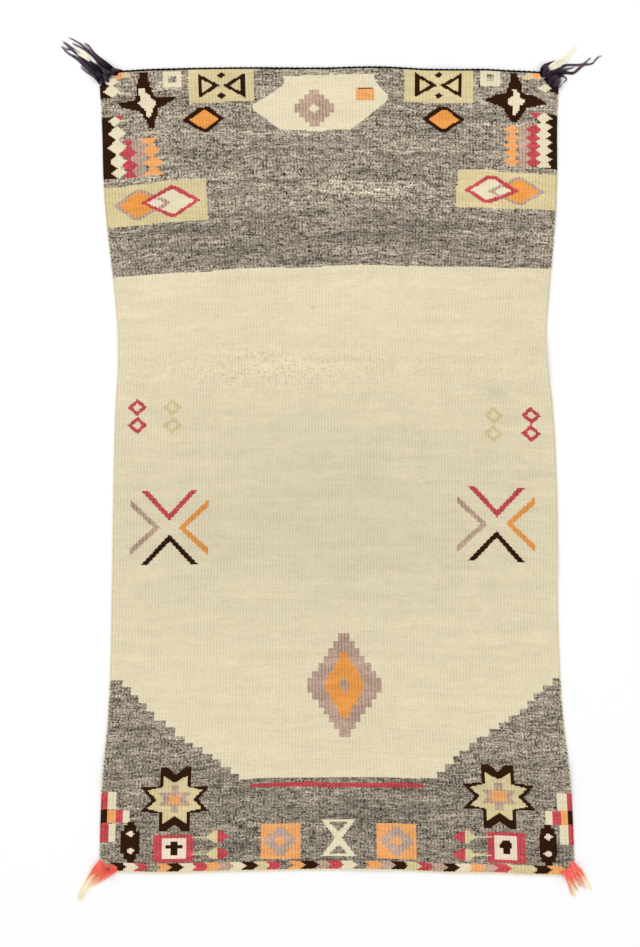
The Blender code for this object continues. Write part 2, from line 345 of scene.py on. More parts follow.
def weave_top_band():
    """Stars, framed panels, small diamonds and the pale panel in the middle."""
    weave_between(
        "dark", (-323.9, 657.5), (-312.0, 657.5), (-309.3, 644.5), (-304.7, 631.7),
        (-301.0, 620.7), (-295.5, 616.6),
        (-264.4, 618.8), (-265.3, 614.3), (-282.7, 603.3), (-292.8, 599.6), (-294.6, 587.7),
        (-299.2, 576.7),
        (-299.6, 565.7), (-308.7, 565.7), (-312.0, 576.7), (-319.4, 587.7), (-326.7, 595.0),
        (-346.9, 597.8),
        (-357.9, 603.3), (-359.7, 607.5), (-333.1, 611.5), (-329.4, 620.7), (-329.4, 634.4),
        (-325.8, 646.3))
    weave_between(
        "cream", (-325.2, 630.8), (-316.6, 631.7), (-312.9, 623.4), (-306.5, 620.7),
        (-305.1, 615.2),
        (-298.3, 610.6), (-297.4, 604.2), (-301.9, 598.7), (-303.8, 589.5), (-306.5, 584.0),
        (-312.0, 584.9),
        (-314.8, 596.8), (-322.1, 602.3), (-326.3, 606.9), (-322.1, 613.3), (-324.9, 622.5))
    weave_between(
        "dark", (288.9, 656.5), (297.6, 656.5), (301.2, 648.2), (305.8, 639.0), (305.8, 628.0),
        (311.3, 622.5), (329.6, 618.8), (348.9, 605.6), (326.0, 601.4), (315.0, 599.6),
        (311.3, 592.3), (304.0, 584.0), (298.5, 575.2), (290.2, 575.2), (283.8, 584.0),
        (278.3, 593.2), (275.6, 599.6), (261.8, 605.1), (244.4, 611.1), (260.0, 620.7),
        (281.0, 624.3), (283.8, 635.3), (287.5, 644.5))
    weave_between(
        "cream", (291.1, 629.8), (296.6, 629.8), (302.1, 622.5), (304.0, 615.2), (312.6, 613.3),
        (307.6, 605.1), (301.2, 602.3), (301.2, 595.0), (294.8, 585.8), (291.1, 589.5),
        (290.2, 602.3), (283.4, 606.0), (283.4, 614.3), (291.1, 618.8))

    for x, y, hole_x in ((-270.8, 646.8, -269.9), (254.4, 649.4, 253.8)):
        weave("cream", box(31.7, 26.4), x, y)
        weave("grey", box(12.2, 11.2), hole_x, y)

    panels = (
        ((-242.9, 663.8), (-136.9, 663.8), (-135.0, 611.5), (-240.9, 606.0)),
        ((111.7, 663.5), (226.4, 662.8), (225.7, 607.7), (112.2, 610.7)),
    )
    for corners in panels:
        weave_between("straw", *corners)
        middle = np.mean(corners, axis=0)
        weave_panel_figure(*middle)

    weave_between("dark", (-253.9, 578.3), (-228.4, 599.8), (-209.1, 601.6), (-184.3, 581.8),
                  (-210.4, 560.2), (-221.9, 560.2))
    weave_between("orange", (-242.7, 579.2), (-219.0, 595.4), (-213.2, 595.4), (-194.3, 581.2),
                  (-212.8, 566.0), (-219.4, 566.0))
    weave_between("dark", (141.1, 581.0), (168.3, 601.6), (184.0, 601.6), (212.8, 579.6),
                  (183.1, 560.2), (171.6, 560.2))
    weave_between("orange", (151.9, 580.4), (174.1, 595.8), (182.3, 595.8), (202.9, 579.8),
                  (180.7, 565.4), (174.1, 565.4))

    weave_between("cream", (-136.9, 605.5), (-136.9, 597.3), (-121.3, 584.9), (-91.6, 563.1),
                  (-29.7, 561.8), (23.1, 564.6), (49.5, 582.4), (67.6, 597.3), (86.1, 612.6),
                  (86.1, 620.4), (74.2, 631.1), (64.3, 644.3), (62.7, 655.5), (-9.9, 654.9),
                  (-86.6, 651.8),
                  (-87.4, 636.1), (-112.2, 619.6))
    weave("lilac", terrace(68.0, 60.0, 4), -36.3, 598.6)
    weave("cream", diamond(19.0, 17.0), -36.3, 598.6)
    weave("apricot", box(28.9, 17.8), 48.2, 621.4)
    weave("dark", box(25.6, 2.0), 47.5, 631.3)

    weave_edge_columns()
    weave_linked_diamonds()


def weave_panel_figure(x, y):
    """Two open triangles, tip to tip, with a small diamond over and under them."""
    for side in (-1, 1):
        outer = [(side * 2, 0), (side * 39.6, 20.8), (side * 39.6, -20.8)]
        inner = [(side * 14.0, 0), (side * 32.2, 10.9), (side * 32.2, -10.9)]
        weave("dark", outer, x, y)
        weave("straw", inner, x, y)
    for up in (-1, 1):
        weave("dark", diamond(14.8, 10.7), x, y + up * 16.8)


def weave_edge_columns():
    """Columns of small diamonds by both side edges, against a dark toothed ground."""
    weave_between("dark", (-396.0, 638.5), (-369.6, 638.5), (-369.6, 614.6), (-392.7, 615.3))
    weave_between("chalk", (-381.1, 640.2), (-370.4, 647.6), (-359.7, 646.8), (-358.0, 641.8),
                  (-370.4, 634.1))
    weave_between("apricot", (-365.5, 650.9), (-353.9, 658.7), (-348.1, 657.5), (-355.6, 646.8),
                  (-361.3, 645.1))
    weave_between("straw", (-349.0, 658.2), (-343.2, 658.2), (-335.6, 648.3), (-354.8, 648.3))
    weave("cream", diamond(29.0, 21.4), -369.9, 626.3)
    weave_between("dark", (-396.0, 584.6), (-363.8, 584.6), (-358.9, 482.3), (-392.7, 483.3))
    weave_between("lilac", (-336.6, 547.3), (-313.5, 548.0), (-313.5, 486.6), (-334.9, 484.9))
    reds = ((-342.4, 525.5, 29.7, 22.3), (-340.2, 504.4, 29.7, 21.0))
    for x, y, wide, high in reds:
        weave("red", diamond(wide, high), x, y)
    weave_between("red", (-352.3, 545.3), (-333.3, 545.3), (-343.2, 534.6))
    weave_between("red", (-350.6, 484.3), (-326.7, 485.1), (-339.6, 499.1))
    weave("red", triangle(14.0, 7.9, -1), -356.4, 582.3)
    creams = ((-365.0, 576.8, 22.3, 15.7), (-360.9, 557.2, 31.3, 23.4),
              (-361.0, 534.1, 31.3, 25.4),
              (-359.0, 510.8, 29.7, 22.8), (-357.7, 492.2, 26.4, 18.5))
    for x, y, wide, high in creams:
        weave("cream", diamond(wide, high), x, y)
    weave_between("apricot", (-324.6, 549.9), (-293.4, 551.6), (-304.4, 537.9), (-311.0, 537.9))
    weave("apricot", diamond(29.7, 22.8), -304.9, 529.2)
    weave("apricot", diamond(35.5, 19.8), -301.1, 509.7)
    weave_between("apricot", (-317.3, 486.6), (-282.5, 489.6), (-297.8, 503.2), (-304.4, 502.4))

    weave_between("dark", (349.0, 636.1), (372.9, 638.5), (369.6, 621.2), (349.0, 627.0))
    weave_between("straw", (305.2, 646.8), (317.5, 657.8), (323.0, 660.0), (338.2, 660.0),
                  (338.2, 646.3))
    weave_between("apricot", (321.8, 659.5), (336.6, 659.5), (335.8, 646.6), (326.7, 648.3))
    weave("cream", diamond(23.9, 15.2), 344.2, 632.1)
    weave_between("dark", (344.8, 589.0), (371.2, 588.2), (370.4, 499.1), (344.8, 499.8))
    weave_between("lilac", (301.1, 571.7), (320.1, 571.7), (320.1, 500.8), (301.1, 501.8))
    for y in (582.3, 568.1, 555.4, 542.7, 529.5, 515.3):
        weave("cream", diamond(28.0, 17.5), 342.5, y)
    weave_between("cream", (330.8, 501.6), (355.6, 499.5), (343.2, 517.3))
    for y in (564.1, 549.3, 535.8, 523.2, 509.0):
        weave("red", diamond(25.6, 17.5), 325.4, y)
    weave_between("red", (318.4, 592.4), (339.1, 591.9), (329.2, 580.5))
    weave("apricot", box(13.2, 64.4), 290.6, 536.6)
    for y in (564.1, 550.3, 537.2, 524.2, 511.4):
        weave("apricot", diamond(27.4, 15.5), 289.9, y)


def weave_linked_diamonds():
    """A panel by each side edge with two linked open diamonds and a solid one."""
    links = (
        ("straw", ((-392.7, 466.1), (-215.2, 484.1), (-209.9, 416.1), (-392.7, 400.8))),
        ("lilac", ((-367.1, 437.2), (-330.0, 464.8), (-320.1, 464.8), (-272.2, 443.8),
                   (-323.4, 414.1), (-333.3, 414.1))),
        ("orange", ((-358.0, 437.6), (-330.0, 459.5), (-321.8, 459.5), (-282.1, 443.0),
                    (-325.0, 419.1), (-330.0, 419.1))),
        ("red", ((-321.8, 442.2), (-273.9, 471.6), (-264.8, 471.6), (-222.8, 448.0),
                 (-264.0, 419.6), (-273.9, 419.6))),
        ("cream", ((-311.0, 442.5), (-273.1, 464.5), (-268.1, 464.5), (-233.5, 447.1),
                   (-265.6, 425.7), (-272.2, 425.7))),
        ("lilac", ((-306.9, 441.4), (-293.7, 451.6), (-284.6, 450.4), (-272.2, 443.8),
                   (-285.4, 433.1), (-293.7, 433.9))),
        ("chalk", ((-311.0, 442.5), (-298.6, 449.1), (-290.4, 447.5), (-283.0, 443.0),
                   (-295.3, 434.8))),
        ("straw", ((199.8, 497.1), (379.5, 489.2), (379.5, 430.5), (198.5, 435.3))),
        ("lilac", ((249.1, 462.0), (298.6, 485.9), (305.2, 485.9), (344.8, 460.3), (308.6, 438.9),
                   (298.6, 438.9))),
        ("orange", ((262.3, 462.0), (300.3, 481.0), (305.2, 480.1), (334.1, 461.5), (305.2, 443.0),
                    (298.6, 442.7))),
        ("red", ((211.2, 464.0), (250.8, 488.7), (262.3, 487.9), (302.8, 461.5), (255.8, 442.2),
                 (243.4, 442.7))),
        ("cream", ((221.9, 464.0), (252.4, 482.0), (260.7, 481.8), (289.6, 462.0), (251.6, 448.8),
                   (245.8, 449.1))),
        ("lilac", ((249.1, 462.0), (269.8, 472.7), (278.0, 469.4), (285.4, 462.0),
                   (270.6, 452.9))),
        ("cream", ((261.5, 462.8), (272.2, 468.9), (278.8, 467.8), (289.6, 462.0),
                   (268.9, 454.9))),
    )
    for yarn, points in links:
        weave_between(yarn, *points)


CHEVRON_STROKE = 9.1 * 1.3


def weave_field():
    """Figures in the cream field: open diamonds, facing chevrons and the stepped lozenge."""
    columns = (("red", -327.5, 90.8), ("straw", -269.8, 90.8),
               ("straw", 259.9, 77.5), ("red", 321.8, 77.5))
    for yarn, x, y in columns:
        for up in (-1, 1):
            weave(yarn, diamond(34.6, 29.7), x, y + up * 14.8)
            weave("cream", diamond(16.5, 14.0), x, y + up * 14.8)

    for x, y in ((-274.7, -92.4), (264.8, -86.6)):
        weave("red", chevron(99.0, 51.1, CHEVRON_STROKE, 0), x, y + 36.3)
        weave("orange", chevron(92.4, 51.1, CHEVRON_STROKE, 3), x + 39.6, y)
        weave("dark", chevron(99.0, 51.1, CHEVRON_STROKE, 2), x, y - 36.3)
        weave("lilac", chevron(92.4, 51.1, CHEVRON_STROKE, 1), x - 39.6, y)

    weave("lilac", terrace(125.4, 171.6, 7), 14.0, -352.3)
    weave("orange", terrace(66.0, 108.9, 5), 14.0, -352.3)
    weave("lilac", diamond(16.5, 29.7), 14.0, -352.3)


def weave_lower_band():
    """Stripe, stars, framed crosses, edge blocks and the small figures between them."""
    weave_between("red", (-144.4, -516.4), (-125.4, -514.3), (-92.4, -512.3), (-59.4, -511.2),
                  (-41.2, -510.3),
                  (-26.4, -512.2), (14.8, -512.8), (39.6, -513.6), (72.6, -513.1), (105.6, -512.3),
                  (125.4, -513.1),
                  (145.2, -516.4), (143.5, -522.2), (122.1, -521.4), (72.6, -520.6), (6.6, -520.6),
                  (-59.4, -519.4),
                  (-92.4, -519.8), (-125.4, -520.6), (-143.5, -521.6))

    stars = (
        {"x": -265.8, "y": -540.9, "wide": 112.7, "high": 107.2, "heart": "bow"},
        {"x": 268.6, "y": -535.4, "wide": 118.8, "high": 107.2, "heart": "block"},
    )
    for row in stars:
        x, y, wide, high = row["x"], row["y"], row["wide"], row["high"]
        weave("dark", eight_star(wide, high, STAR_OUTER), x, y)
        weave("straw", eight_star(wide, high, STAR_INNER), x, y)
        side = [(0.48 * wide / 2, 0.22 * high / 2), (0.32 * wide / 2, 0)]
        weave("lilac", mirrored([(0, 0.22 * high / 2)] + side), x, y)
        weave("lilac", box(13.5, 45.4), x, y)
        if row["heart"] == "bow":
            heart = [(0, 6.4), (12.5, 8.9), (7.3, 0)]
            weave("apricot", mirrored(heart), x, y)
        else:
            weave("apricot", box(24.1, 16.5), x, y)

    pair, four = ("red", "cream"), ("dark", "apricot", "red", "cream")
    blocks = (
        {"top": -528.2, "bottom": -557.5, "edges": (-405.9, -375.9, -360.7), "yarns": pair},
        {"top": -557.5, "bottom": -579.8, "edges": (-405.9, -377.2, -363.3, -352.1, -340.2),
         "yarns": four},
        {"top": -579.8, "bottom": -611.7, "edges": (-405.9, -375.7, -363.7), "yarns": pair},
        {"top": -529.8, "bottom": -559.5, "edges": (410.8, 380.2, 365.3), "yarns": pair},
        {"top": -559.5, "bottom": -582.6, "edges": (410.8, 382.1, 370.6, 357.2, 345.2),
         "yarns": four},
        {"top": -582.6, "bottom": -616.3, "edges": (410.8, 383.1, 369.3), "yarns": pair},
    )
    for row in blocks:
        for near, far, yarn in zip(row["edges"], row["edges"][1:], row["yarns"]):
            middle_y = (row["top"] + row["bottom"]) / 2
            weave(yarn, box(abs(far - near), row["top"] - row["bottom"]),
                  (near + far) / 2, middle_y)

    for x, y in ((-338.9, -611.3), (350.1, -616.3)):
        weave("dark", box(29.7, 39.6), x, y)
        weave("dark", box(20.5, 57.8), x, y)
        weave("dark", box(10.6, 67.6), x, y)
        for up in (-1, 1):
            weave("chalk", diamond(13.9, 11.9), x, y + up * 13.9)

    frames = (
        {"x": -267.3, "y": -621.6, "wide": 64.7, "high": 45.2, "bar": 27.1,
         "peak": box(10.2, 12.0)},
        {"x": 280.8, "y": -619.9, "wide": 61.0, "high": 51.5, "bar": 19.1,
         "peak": ((-9.6, 4.0), (9.6, 4.0), (5.0, 12.6), (-5.0, 12.6))},
    )
    for row in frames:
        x, y = row["x"], row["y"]
        weave("red", box(row["wide"], row["high"]), x, y)
        weave("chalk", box(row["wide"] - 23.8, row["high"] - 12.5), x, y)
        weave("dark", box(10.2, 22.4), x, y - 0.3)
        weave("dark", box(row["bar"], 6.6), x, y + 2.6)
        weave("dark", row["peak"], x, y)

    for (x, y), way in (((-194.7, -601.9), 1), ((-194.7, -630.0), 1), ((212.0, -602.2), -1),
                        ((212.0, -631.6), -1)):
        weave("straw", [(-way * 44.0, -0.9), (-way * 44.0, 0.9), (-way * 18.0, 1.4),
                        (-way * 7.5, 9.6),
                        (0, 9.6), (0, -9.6), (-way * 7.5, -9.6), (-way * 18.0, -1.4)], x, y)
        weave("red", [(0, -9.9), (0, 9.9), (way * 7.5, 9.0), (way * 18.5, 0),
                      (way * 7.5, -9.0)], x, y)

    for x, y in ((-92.1, -609.0), (100.3, -609.3)):
        weave("apricot", box(65.3, 60.1), x, y)
        weave("lilac", terrace(51.1, 47.0, 4), x, y)
        weave("apricot", diamond(18.1, 16.5), x, y)

    weave("cream", hourglass(56.1, 61.0, 11.5), 4.1, -603.7)
    weave("grey", triangle(31.3, 15.7, -1), 4.1, -585.3)
    weave("grey", triangle(31.3, 15.7, 1), 4.1, -622.5)

    weave_arrows()


ARROWS = ("dark", "cream", "red", "grey", "apricot", "dark", "cream", "red", "apricot", "lilac",
          "cream", "dark", "straw", "red", "grey", "apricot", "dark", "lilac", "red", "cream",
          "grey", "apricot", "lilac", "dark", "straw", "red", "lilac", "dark", "cream",
          "apricot", "lilac", "red", "straw", "straw", "dark", "apricot")


# Rows that the border takes, reach of its tips in mm, and where its arrows start: place
# in the border and X
ARROW_ROWS = 7
ARROW_TIP = 9.0
ARROW_STARTS = ((0, -371.7), (5, -279.2), (11, -157.6), (16, -58.6), (27, 174.6),
                (34, 323.1), (36, 371.3))


def weave_arrows():
    """The border of arrowheads over the lower cord, all pointing to the right."""
    places, starts = zip(*ARROW_STARTS)
    middle, tip = ARROW_ROWS / 2, ARROW_TIP / WARP_PITCH
    for place, yarn in enumerate(ARROWS):
        start, end = (cell_at(np.interp(at, places, starts), -651.0)[0]
                      for at in (place, place + 1))
        fill(yarn, ((start, 0), (end, 0), (end + tip, middle),
                    (end, ARROW_ROWS), (start, ARROW_ROWS), (start + tip, middle)))


weave_grounds()
weave_top_band()
weave_field()
weave_lower_band()

for column in range(COLUMNS):
    from_side = min(column, COLUMNS - 1 - column)
    cut = round(CORNER_ROWS * (1 - (from_side + 0.5) / CORNER_COLUMNS))
    if cut > 0:
        woven[column, :cut] = NO_YARN
        woven[column, ROWS - cut:] = NO_YARN

# Finishes of the wool

# Small stains in the cream field: middle, reach across and along, and how much darker
CREAM_STAINS = (
    (-38.8, 269.8, 5.5, 3.2, 0.17), (-102.3, 312.7, 7.0, 8.0, 0.06),
    (-29.7, 221.9, 20.0, 3.0, 0.05), (262.3, 126.2, 20.0, 11.0, 0.05),
)

# Weft: handspun wool, carded from lighter and darker fleece and packed down over the
# warps. light and deep are the two fleeces, carded how far the change from one to the
# other goes along a pick, from 0 to 1, bead the share of the speckle that changes from
# one warp to the next, parted how sharply the two fleeces part, streak how much the tone
# changes along a row, band from one spindle of yarn to the next, and rib how much painted
# shade darkens the furrows between warps.
WEFTS = (
    {"name": "undyed_cream_weft", "light": "F1E6C9", "deep": "D8CCA9", "carded": 0.5, "bead": 0.4,
     "streak": 0.025, "band": 0.035, "rib": 0.05, "stains": CREAM_STAINS},
    {"name": "carded_grey_weft", "light": "DACCB6", "deep": "150D07", "carded": 1.0, "bead": 0.45,
     "parted": 0.32, "streak": 0.26, "band": 0.24, "rib": 0.18, "tone": "grey_tone"},
    {"name": "natural_brown_weft", "light": "391B05", "deep": "231003", "carded": 0.5, "bead": 0.5,
     "streak": 0.15, "band": 0.10, "rib": 0.05},
    {"name": "red_dyed_weft", "light": "E26368", "deep": "9B2B34", "carded": 0.6, "bead": 0.4,
     "streak": 0.12, "band": 0.08, "rib": 0.20},
    {"name": "orange_dyed_weft", "light": "F3B05E", "deep": "DB843A", "carded": 0.5, "bead": 0.4,
     "streak": 0.06, "band": 0.06, "rib": 0.10},
    {"name": "faded_lilac_weft", "light": "DABDAA", "deep": "967B6A", "carded": 0.6, "bead": 0.4,
     "streak": 0.08, "band": 0.05, "rib": 0.26},
    {"name": "straw_dyed_weft", "light": "E4D6AA", "deep": "C9B886", "carded": 0.5, "bead": 0.4,
     "streak": 0.05, "band": 0.05, "rib": 0.10},
    {"name": "bleached_white_weft", "light": "F8E6D2", "deep": "E2CDB4", "carded": 0.5,
     "bead": 0.4,
     "streak": 0.05, "band": 0.04, "rib": 0.10},
    {"name": "faded_orange_weft", "light": "F7B97A", "deep": "DE9252", "carded": 0.5, "bead": 0.4,
     "streak": 0.06, "band": 0.06, "rib": 0.12},
)

# Loose wool and twined cords: tone at the root and towards the tip, place of the
# change along the lock, and how much the tone differs between fibres
LOOSE_WOOLS = (
    {"name": "navy_tassel_wool", "root": "07060E", "tip": "6A5766", "from": 0.10, "to": 0.90,
     "vary": 0.6},
    {"name": "coral_tassel_wool", "root": "FF6E62", "tip": "FFD8B4", "from": 0.35, "to": 1.0,
     "vary": 0.2},
    {"name": "coral_dipped_wool", "root": "FF765F", "tip": "FFF6D2", "from": 0.30, "to": 0.62,
     "vary": 0.08},
    {"name": "pale_lock_wool", "root": "FFF6DA", "tip": "FFFCEA", "from": 0.1, "to": 0.9,
     "vary": 0.08},
    {"name": "navy_twined_wool", "root": "0C090C", "tip": "0C090C", "from": 0.0, "to": 1.0,
     "vary": 0.5},
    {"name": "cream_twined_wool", "root": "EFE5C6", "tip": "EFE5C6", "from": 0.0, "to": 1.0,
     "vary": 0.12},
)

BEAD_HIGH = 2.1
PICK_GRAIN = 13.0
WOOL_ROUGHNESS = 0.94
WOOL_SHEEN = 0.06
WOOL_SHEEN_ROUGHNESS = 0.5
WOOL_IOR = 1.54


def wool_base(name):
    """A new material with the matt, faintly fuzzy surface that all the wool has."""
    material = bpy.data.materials.new(name)
    material.use_nodes = True
    shader = material.node_tree.nodes["Principled BSDF"]
    shader.inputs["Roughness"].default_value = WOOL_ROUGHNESS
    shader.inputs["IOR"].default_value = WOOL_IOR
    shader.inputs["Specular IOR Level"].default_value = 0.08
    shader.inputs["Sheen Weight"].default_value = WOOL_SHEEN
    shader.inputs["Sheen Roughness"].default_value = WOOL_SHEEN_ROUGHNESS
    return material, material.node_tree, shader


def add_nodes(tree, rows):
    """Add nodes from rows of name, kind, settings, links by input to named results, output."""
    made = {}
    for name, kind, settings, links, output in rows:
        links = {place: made[source] for place, source in links.items()}
        made[name] = add_node(tree, kind, settings, links).outputs[output]
    return made


def weft_wool(row):
    """Handspun weft: matt, in beads over the warps, with its fleece speckled along the picks."""
    material, tree, shader = wool_base(row["name"])
    # half: how far painted shade darkens the colour in the deepest furrows
    spread, half = 0.5 / (1 + 2 * row["carded"]), 2 * row["rib"]
    parted = row.get("parted", 0.5)
    rows = [
        ("place", "ShaderNodeAttribute", {"attribute_name": "weave_place"}, {}, "Vector"),
        ("across", "ShaderNodeSeparateXYZ", {}, {0: "place"}, 0),
        ("up", "ShaderNodeSeparateXYZ", {}, {0: "place"}, 1),
        ("face", "ShaderNodeSeparateXYZ", {}, {0: "place"}, 2),

        # Rows wander, over about 85 by 60 mm, and all that lies along a row bends with it
        ("wander_at", "ShaderNodeVectorMath", {"operation": "MULTIPLY", 1: (1 / 85, 1 / 60, 1.0)},
         {0: "place"}, 0),
        ("wander", "ShaderNodeTexNoise", {"Scale": 1.0, "Detail": 1.0}, {"Vector": "wander_at"},
         "Fac"),
        ("bent", "ShaderNodeMath", {"operation": "MULTIPLY_ADD", 1: 24.0},
         {0: "wander", 2: "up"}, 0),
        ("bent_at", "ShaderNodeCombineXYZ", {}, {0: "across", 1: "bent", 2: "face"}, 0),

        # A pick passes over every other warp: one bead there, as wide as the rib and 2.1 mm
        # high, and the next pick fills the ribs between, half a bead higher
        ("ribs", "ShaderNodeMath", {"operation": "DIVIDE", 1: WARP_PITCH}, {0: "across"}, 0),
        ("rib", "ShaderNodeMath", {"operation": "FLOOR"}, {0: "ribs"}, 0),
        ("half_rib", "ShaderNodeMath", {"operation": "MULTIPLY", 1: 0.5}, {0: "rib"}, 0),
        ("along", "ShaderNodeMath", {"operation": "MULTIPLY_ADD", 1: 1 / BEAD_HIGH},
         {0: "bent", 2: "half_rib"}, 0),
        ("bead_row", "ShaderNodeMath", {"operation": "FLOOR"}, {0: "along"}, 0),
        ("pick", "ShaderNodeMath", {"operation": "SUBTRACT"}, {0: "bead_row", 1: "half_rib"}, 0),

        # Carding: the yarn of one pick goes from lighter to darker fleece and back every
        # 13 mm or so, with flecks about 1.6 mm wide and 1.2 mm high in it
        ("grains", "ShaderNodeMath", {"operation": "DIVIDE", 1: PICK_GRAIN}, {0: "across"}, 0),
        ("apart", "ShaderNodeMath", {"operation": "MULTIPLY", 1: 14.62}, {0: "pick"}, 0),
        ("yarn_at", "ShaderNodeCombineXYZ", {}, {0: "grains", 1: "apart", 2: "face"}, 0),
        ("yarn", "ShaderNodeTexNoise", {"Scale": 1.0, "Detail": 2.0, "Roughness": 0.6},
         {"Vector": "yarn_at"}, "Fac"),
        ("carded", "ShaderNodeMapRange", {"From Min": 0.5 - spread, "From Max": 0.5 + spread},
         {"Value": "yarn"}, 0),
        ("bead_at", "ShaderNodeCombineXYZ", {}, {0: "rib", 1: "bead_row", 2: "face"}, 0),
        ("bead", "ShaderNodeTexWhiteNoise", {"noise_dimensions": "3D"}, {"Vector": "bead_at"},
         "Value"),
        ("fleck_at", "ShaderNodeVectorMath", {"operation": "MULTIPLY", 1: (1 / 1.6, 1 / 1.2, 1.0)},
         {0: "bent_at"}, 0),
        ("cells", "ShaderNodeTexVoronoi", {"Scale": 1.0}, {"Vector": "fleck_at"}, "Color"),
        ("fleck", "ShaderNodeSeparateColor", {}, {0: "cells"}, 0),
        ("speckle", "ShaderNodeMix", {"data_type": "FLOAT", 0: 0.5}, {2: "fleck", 3: "bead"}, 0),
        ("blended", "ShaderNodeMix", {"data_type": "FLOAT", 0: row["bead"]},
         {2: "carded", 3: "speckle"}, 0),
        ("fleece", "ShaderNodeMapRange", {"From Min": 0.5 - parted, "From Max": 0.5 + parted},
         {"Value": "blended"}, 0),
        ("colour", "ShaderNodeMix", {"data_type": "RGBA", 6: linear(row["deep"]),
                                     7: linear(row["light"])}, {0: "fleece"}, 2),

        # Painted shade in the furrows between pairs of ribs, stronger in some patches than in
        # others
        ("fold", "ShaderNodeMath", {"operation": "PINGPONG", 1: WARP_PITCH}, {0: "across"}, 0),
        ("furrow", "ShaderNodeMapRange", {"From Max": WARP_PITCH, "To Min": half, "To Max": 0.0},
         {"Value": "fold"}, 0),
        ("patch_at", "ShaderNodeVectorMath", {"operation": "MULTIPLY", 1: (1 / 60, 1 / 40, 1.0)},
         {0: "place"}, 0),
        ("patch", "ShaderNodeTexNoise", {"Scale": 1.0, "Roughness": 0.65}, {"Vector": "patch_at"},
         "Fac"),
        ("furrow_shade_patches", "ShaderNodeMapRange", {"From Min": 0.36, "From Max": 0.60, "To Min": 0.15},
         {"Value": "patch"}, 0),
        ("painted_furrow_shade", "ShaderNodeMath", {"operation": "MULTIPLY"}, {0: "furrow", 1: "furrow_shade_patches"}, 0),
        ("ribbed", "ShaderNodeMath", {"operation": "SUBTRACT", 0: 1 + row["rib"] * 0.55},
         {1: "painted_furrow_shade"}, 0),

        # Streaks along a row, and bands from one spindle of yarn to the next
        ("streak_at", "ShaderNodeVectorMath", {"operation": "MULTIPLY", 1: (1 / 42, 1 / 2.4, 1.0)},
         {0: "bent_at"}, 0),
        ("streaks", "ShaderNodeTexNoise", {"Scale": 1.0, "Detail": 1.0}, {"Vector": "streak_at"},
         "Fac"),
        ("streak", "ShaderNodeMapRange", {"From Min": 0.34, "From Max": 0.66,
                                          "To Min": 1 - row["streak"],
                                          "To Max": 1 + row["streak"]},
         {"Value": "streaks"}, 0),
        ("band_at", "ShaderNodeVectorMath", {"operation": "MULTIPLY", 1: (1 / 300, 1 / 15, 1.0)},
         {0: "bent_at"}, 0),
        ("bands", "ShaderNodeTexNoise", {"Scale": 1.0, "Detail": 3.0, "Roughness": 0.65},
         {"Vector": "band_at"}, "Fac"),
        ("band", "ShaderNodeMapRange", {"From Min": 0.36, "From Max": 0.64,
                                        "To Min": 1 - row["band"], "To Max": 1 + row["band"]},
         {"Value": "bands"}, 0),
        ("streaked", "ShaderNodeMath", {"operation": "MULTIPLY"}, {0: "ribbed", 1: "streak"}, 0),
        ("banded", "ShaderNodeMath", {"operation": "MULTIPLY"}, {0: "streaked", 1: "band"}, 0),

        # Painted shade for gaps between beads: in loosely packed rows a bead here and there is
        # darker, the rest a little lighter
        ("loose", "ShaderNodeAttribute", {"attribute_name": "loose"}, {}, "Fac"),
        ("painted_gap_shade", "ShaderNodeMapRange", {"From Max": 0.3, "To Min": -0.2, "To Max": 0.04},
         {"Value": "bead"}, 0),
        ("shade_0", "ShaderNodeMath", {"operation": "MULTIPLY_ADD"},
         {0: "painted_gap_shade", 1: "loose", 2: "banded"}, 0),
    ]
    stains = row.get("stains", ())
    for number, (x, y, wide, high, darker) in enumerate(stains):
        column, pick = cell_at(x, y)
        rows += [
            ("apart", "ShaderNodeVectorMath",
             {"operation": "SUBTRACT", 1: (column * WARP_PITCH, pick * ROW_PITCH, 0.0)},
             {0: "place"}, 0),
            ("sized", "ShaderNodeVectorMath",
             {"operation": "MULTIPLY", 1: (1 / wide, 1 / high, 1.0)},
             {0: "apart"}, 0),
            ("away", "ShaderNodeVectorMath", {"operation": "LENGTH"}, {0: "sized"}, "Value"),
            ("stain", "ShaderNodeMapRange", {"From Min": 0.35, "From Max": 1.25,
                                             "To Min": 1 - darker},
             {"Value": "away"}, 0),
            ("shade_%d" % (number + 1), "ShaderNodeMath", {"operation": "MULTIPLY"},
             {0: "shade_%d" % number, 1: "stain"}, 0),
        ]
    rows += [
        ("tone", "ShaderNodeAttribute", {"attribute_name": row.get("tone", "tone")}, {}, "Fac"),
        ("shade", "ShaderNodeMath", {"operation": "MULTIPLY"},
         {0: "shade_%d" % len(stains), 1: "tone"}, 0),
        ("toned", "ShaderNodeVectorMath", {"operation": "SCALE"}, {0: "colour",
                                                                   "Scale": "shade"}, 0),

        # Relief: each bead stands round over its warp, with loose fibres on it
        ("over", "ShaderNodeMath", {"operation": "FRACT"}, {0: "along"}, 0),
        ("round", "ShaderNodeMath", {"operation": "PINGPONG", 1: 0.5}, {0: "over"}, 0),
        ("fibre_at", "ShaderNodeVectorMath", {"operation": "MULTIPLY", 1: (1 / 1.6, 1 / 0.9, 1.0)},
         {0: "place"}, 0),
        ("fibre", "ShaderNodeTexNoise", {"Scale": 1.0, "Roughness": 0.65}, {"Vector": "fibre_at"},
         "Fac"),
        ("height", "ShaderNodeMath", {"operation": "MULTIPLY_ADD", 1: 0.7},
         {0: "fibre", 2: "round"}, 0),
        ("bump", "ShaderNodeBump", {"Strength": 0.5, "Distance": 0.0008}, {"Height": "height"}, 0),
    ]
    made = add_nodes(tree, rows)
    tree.links.new(made["toned"], shader.inputs["Base Color"])
    tree.links.new(made["bump"], shader.inputs["Normal"])
    return material


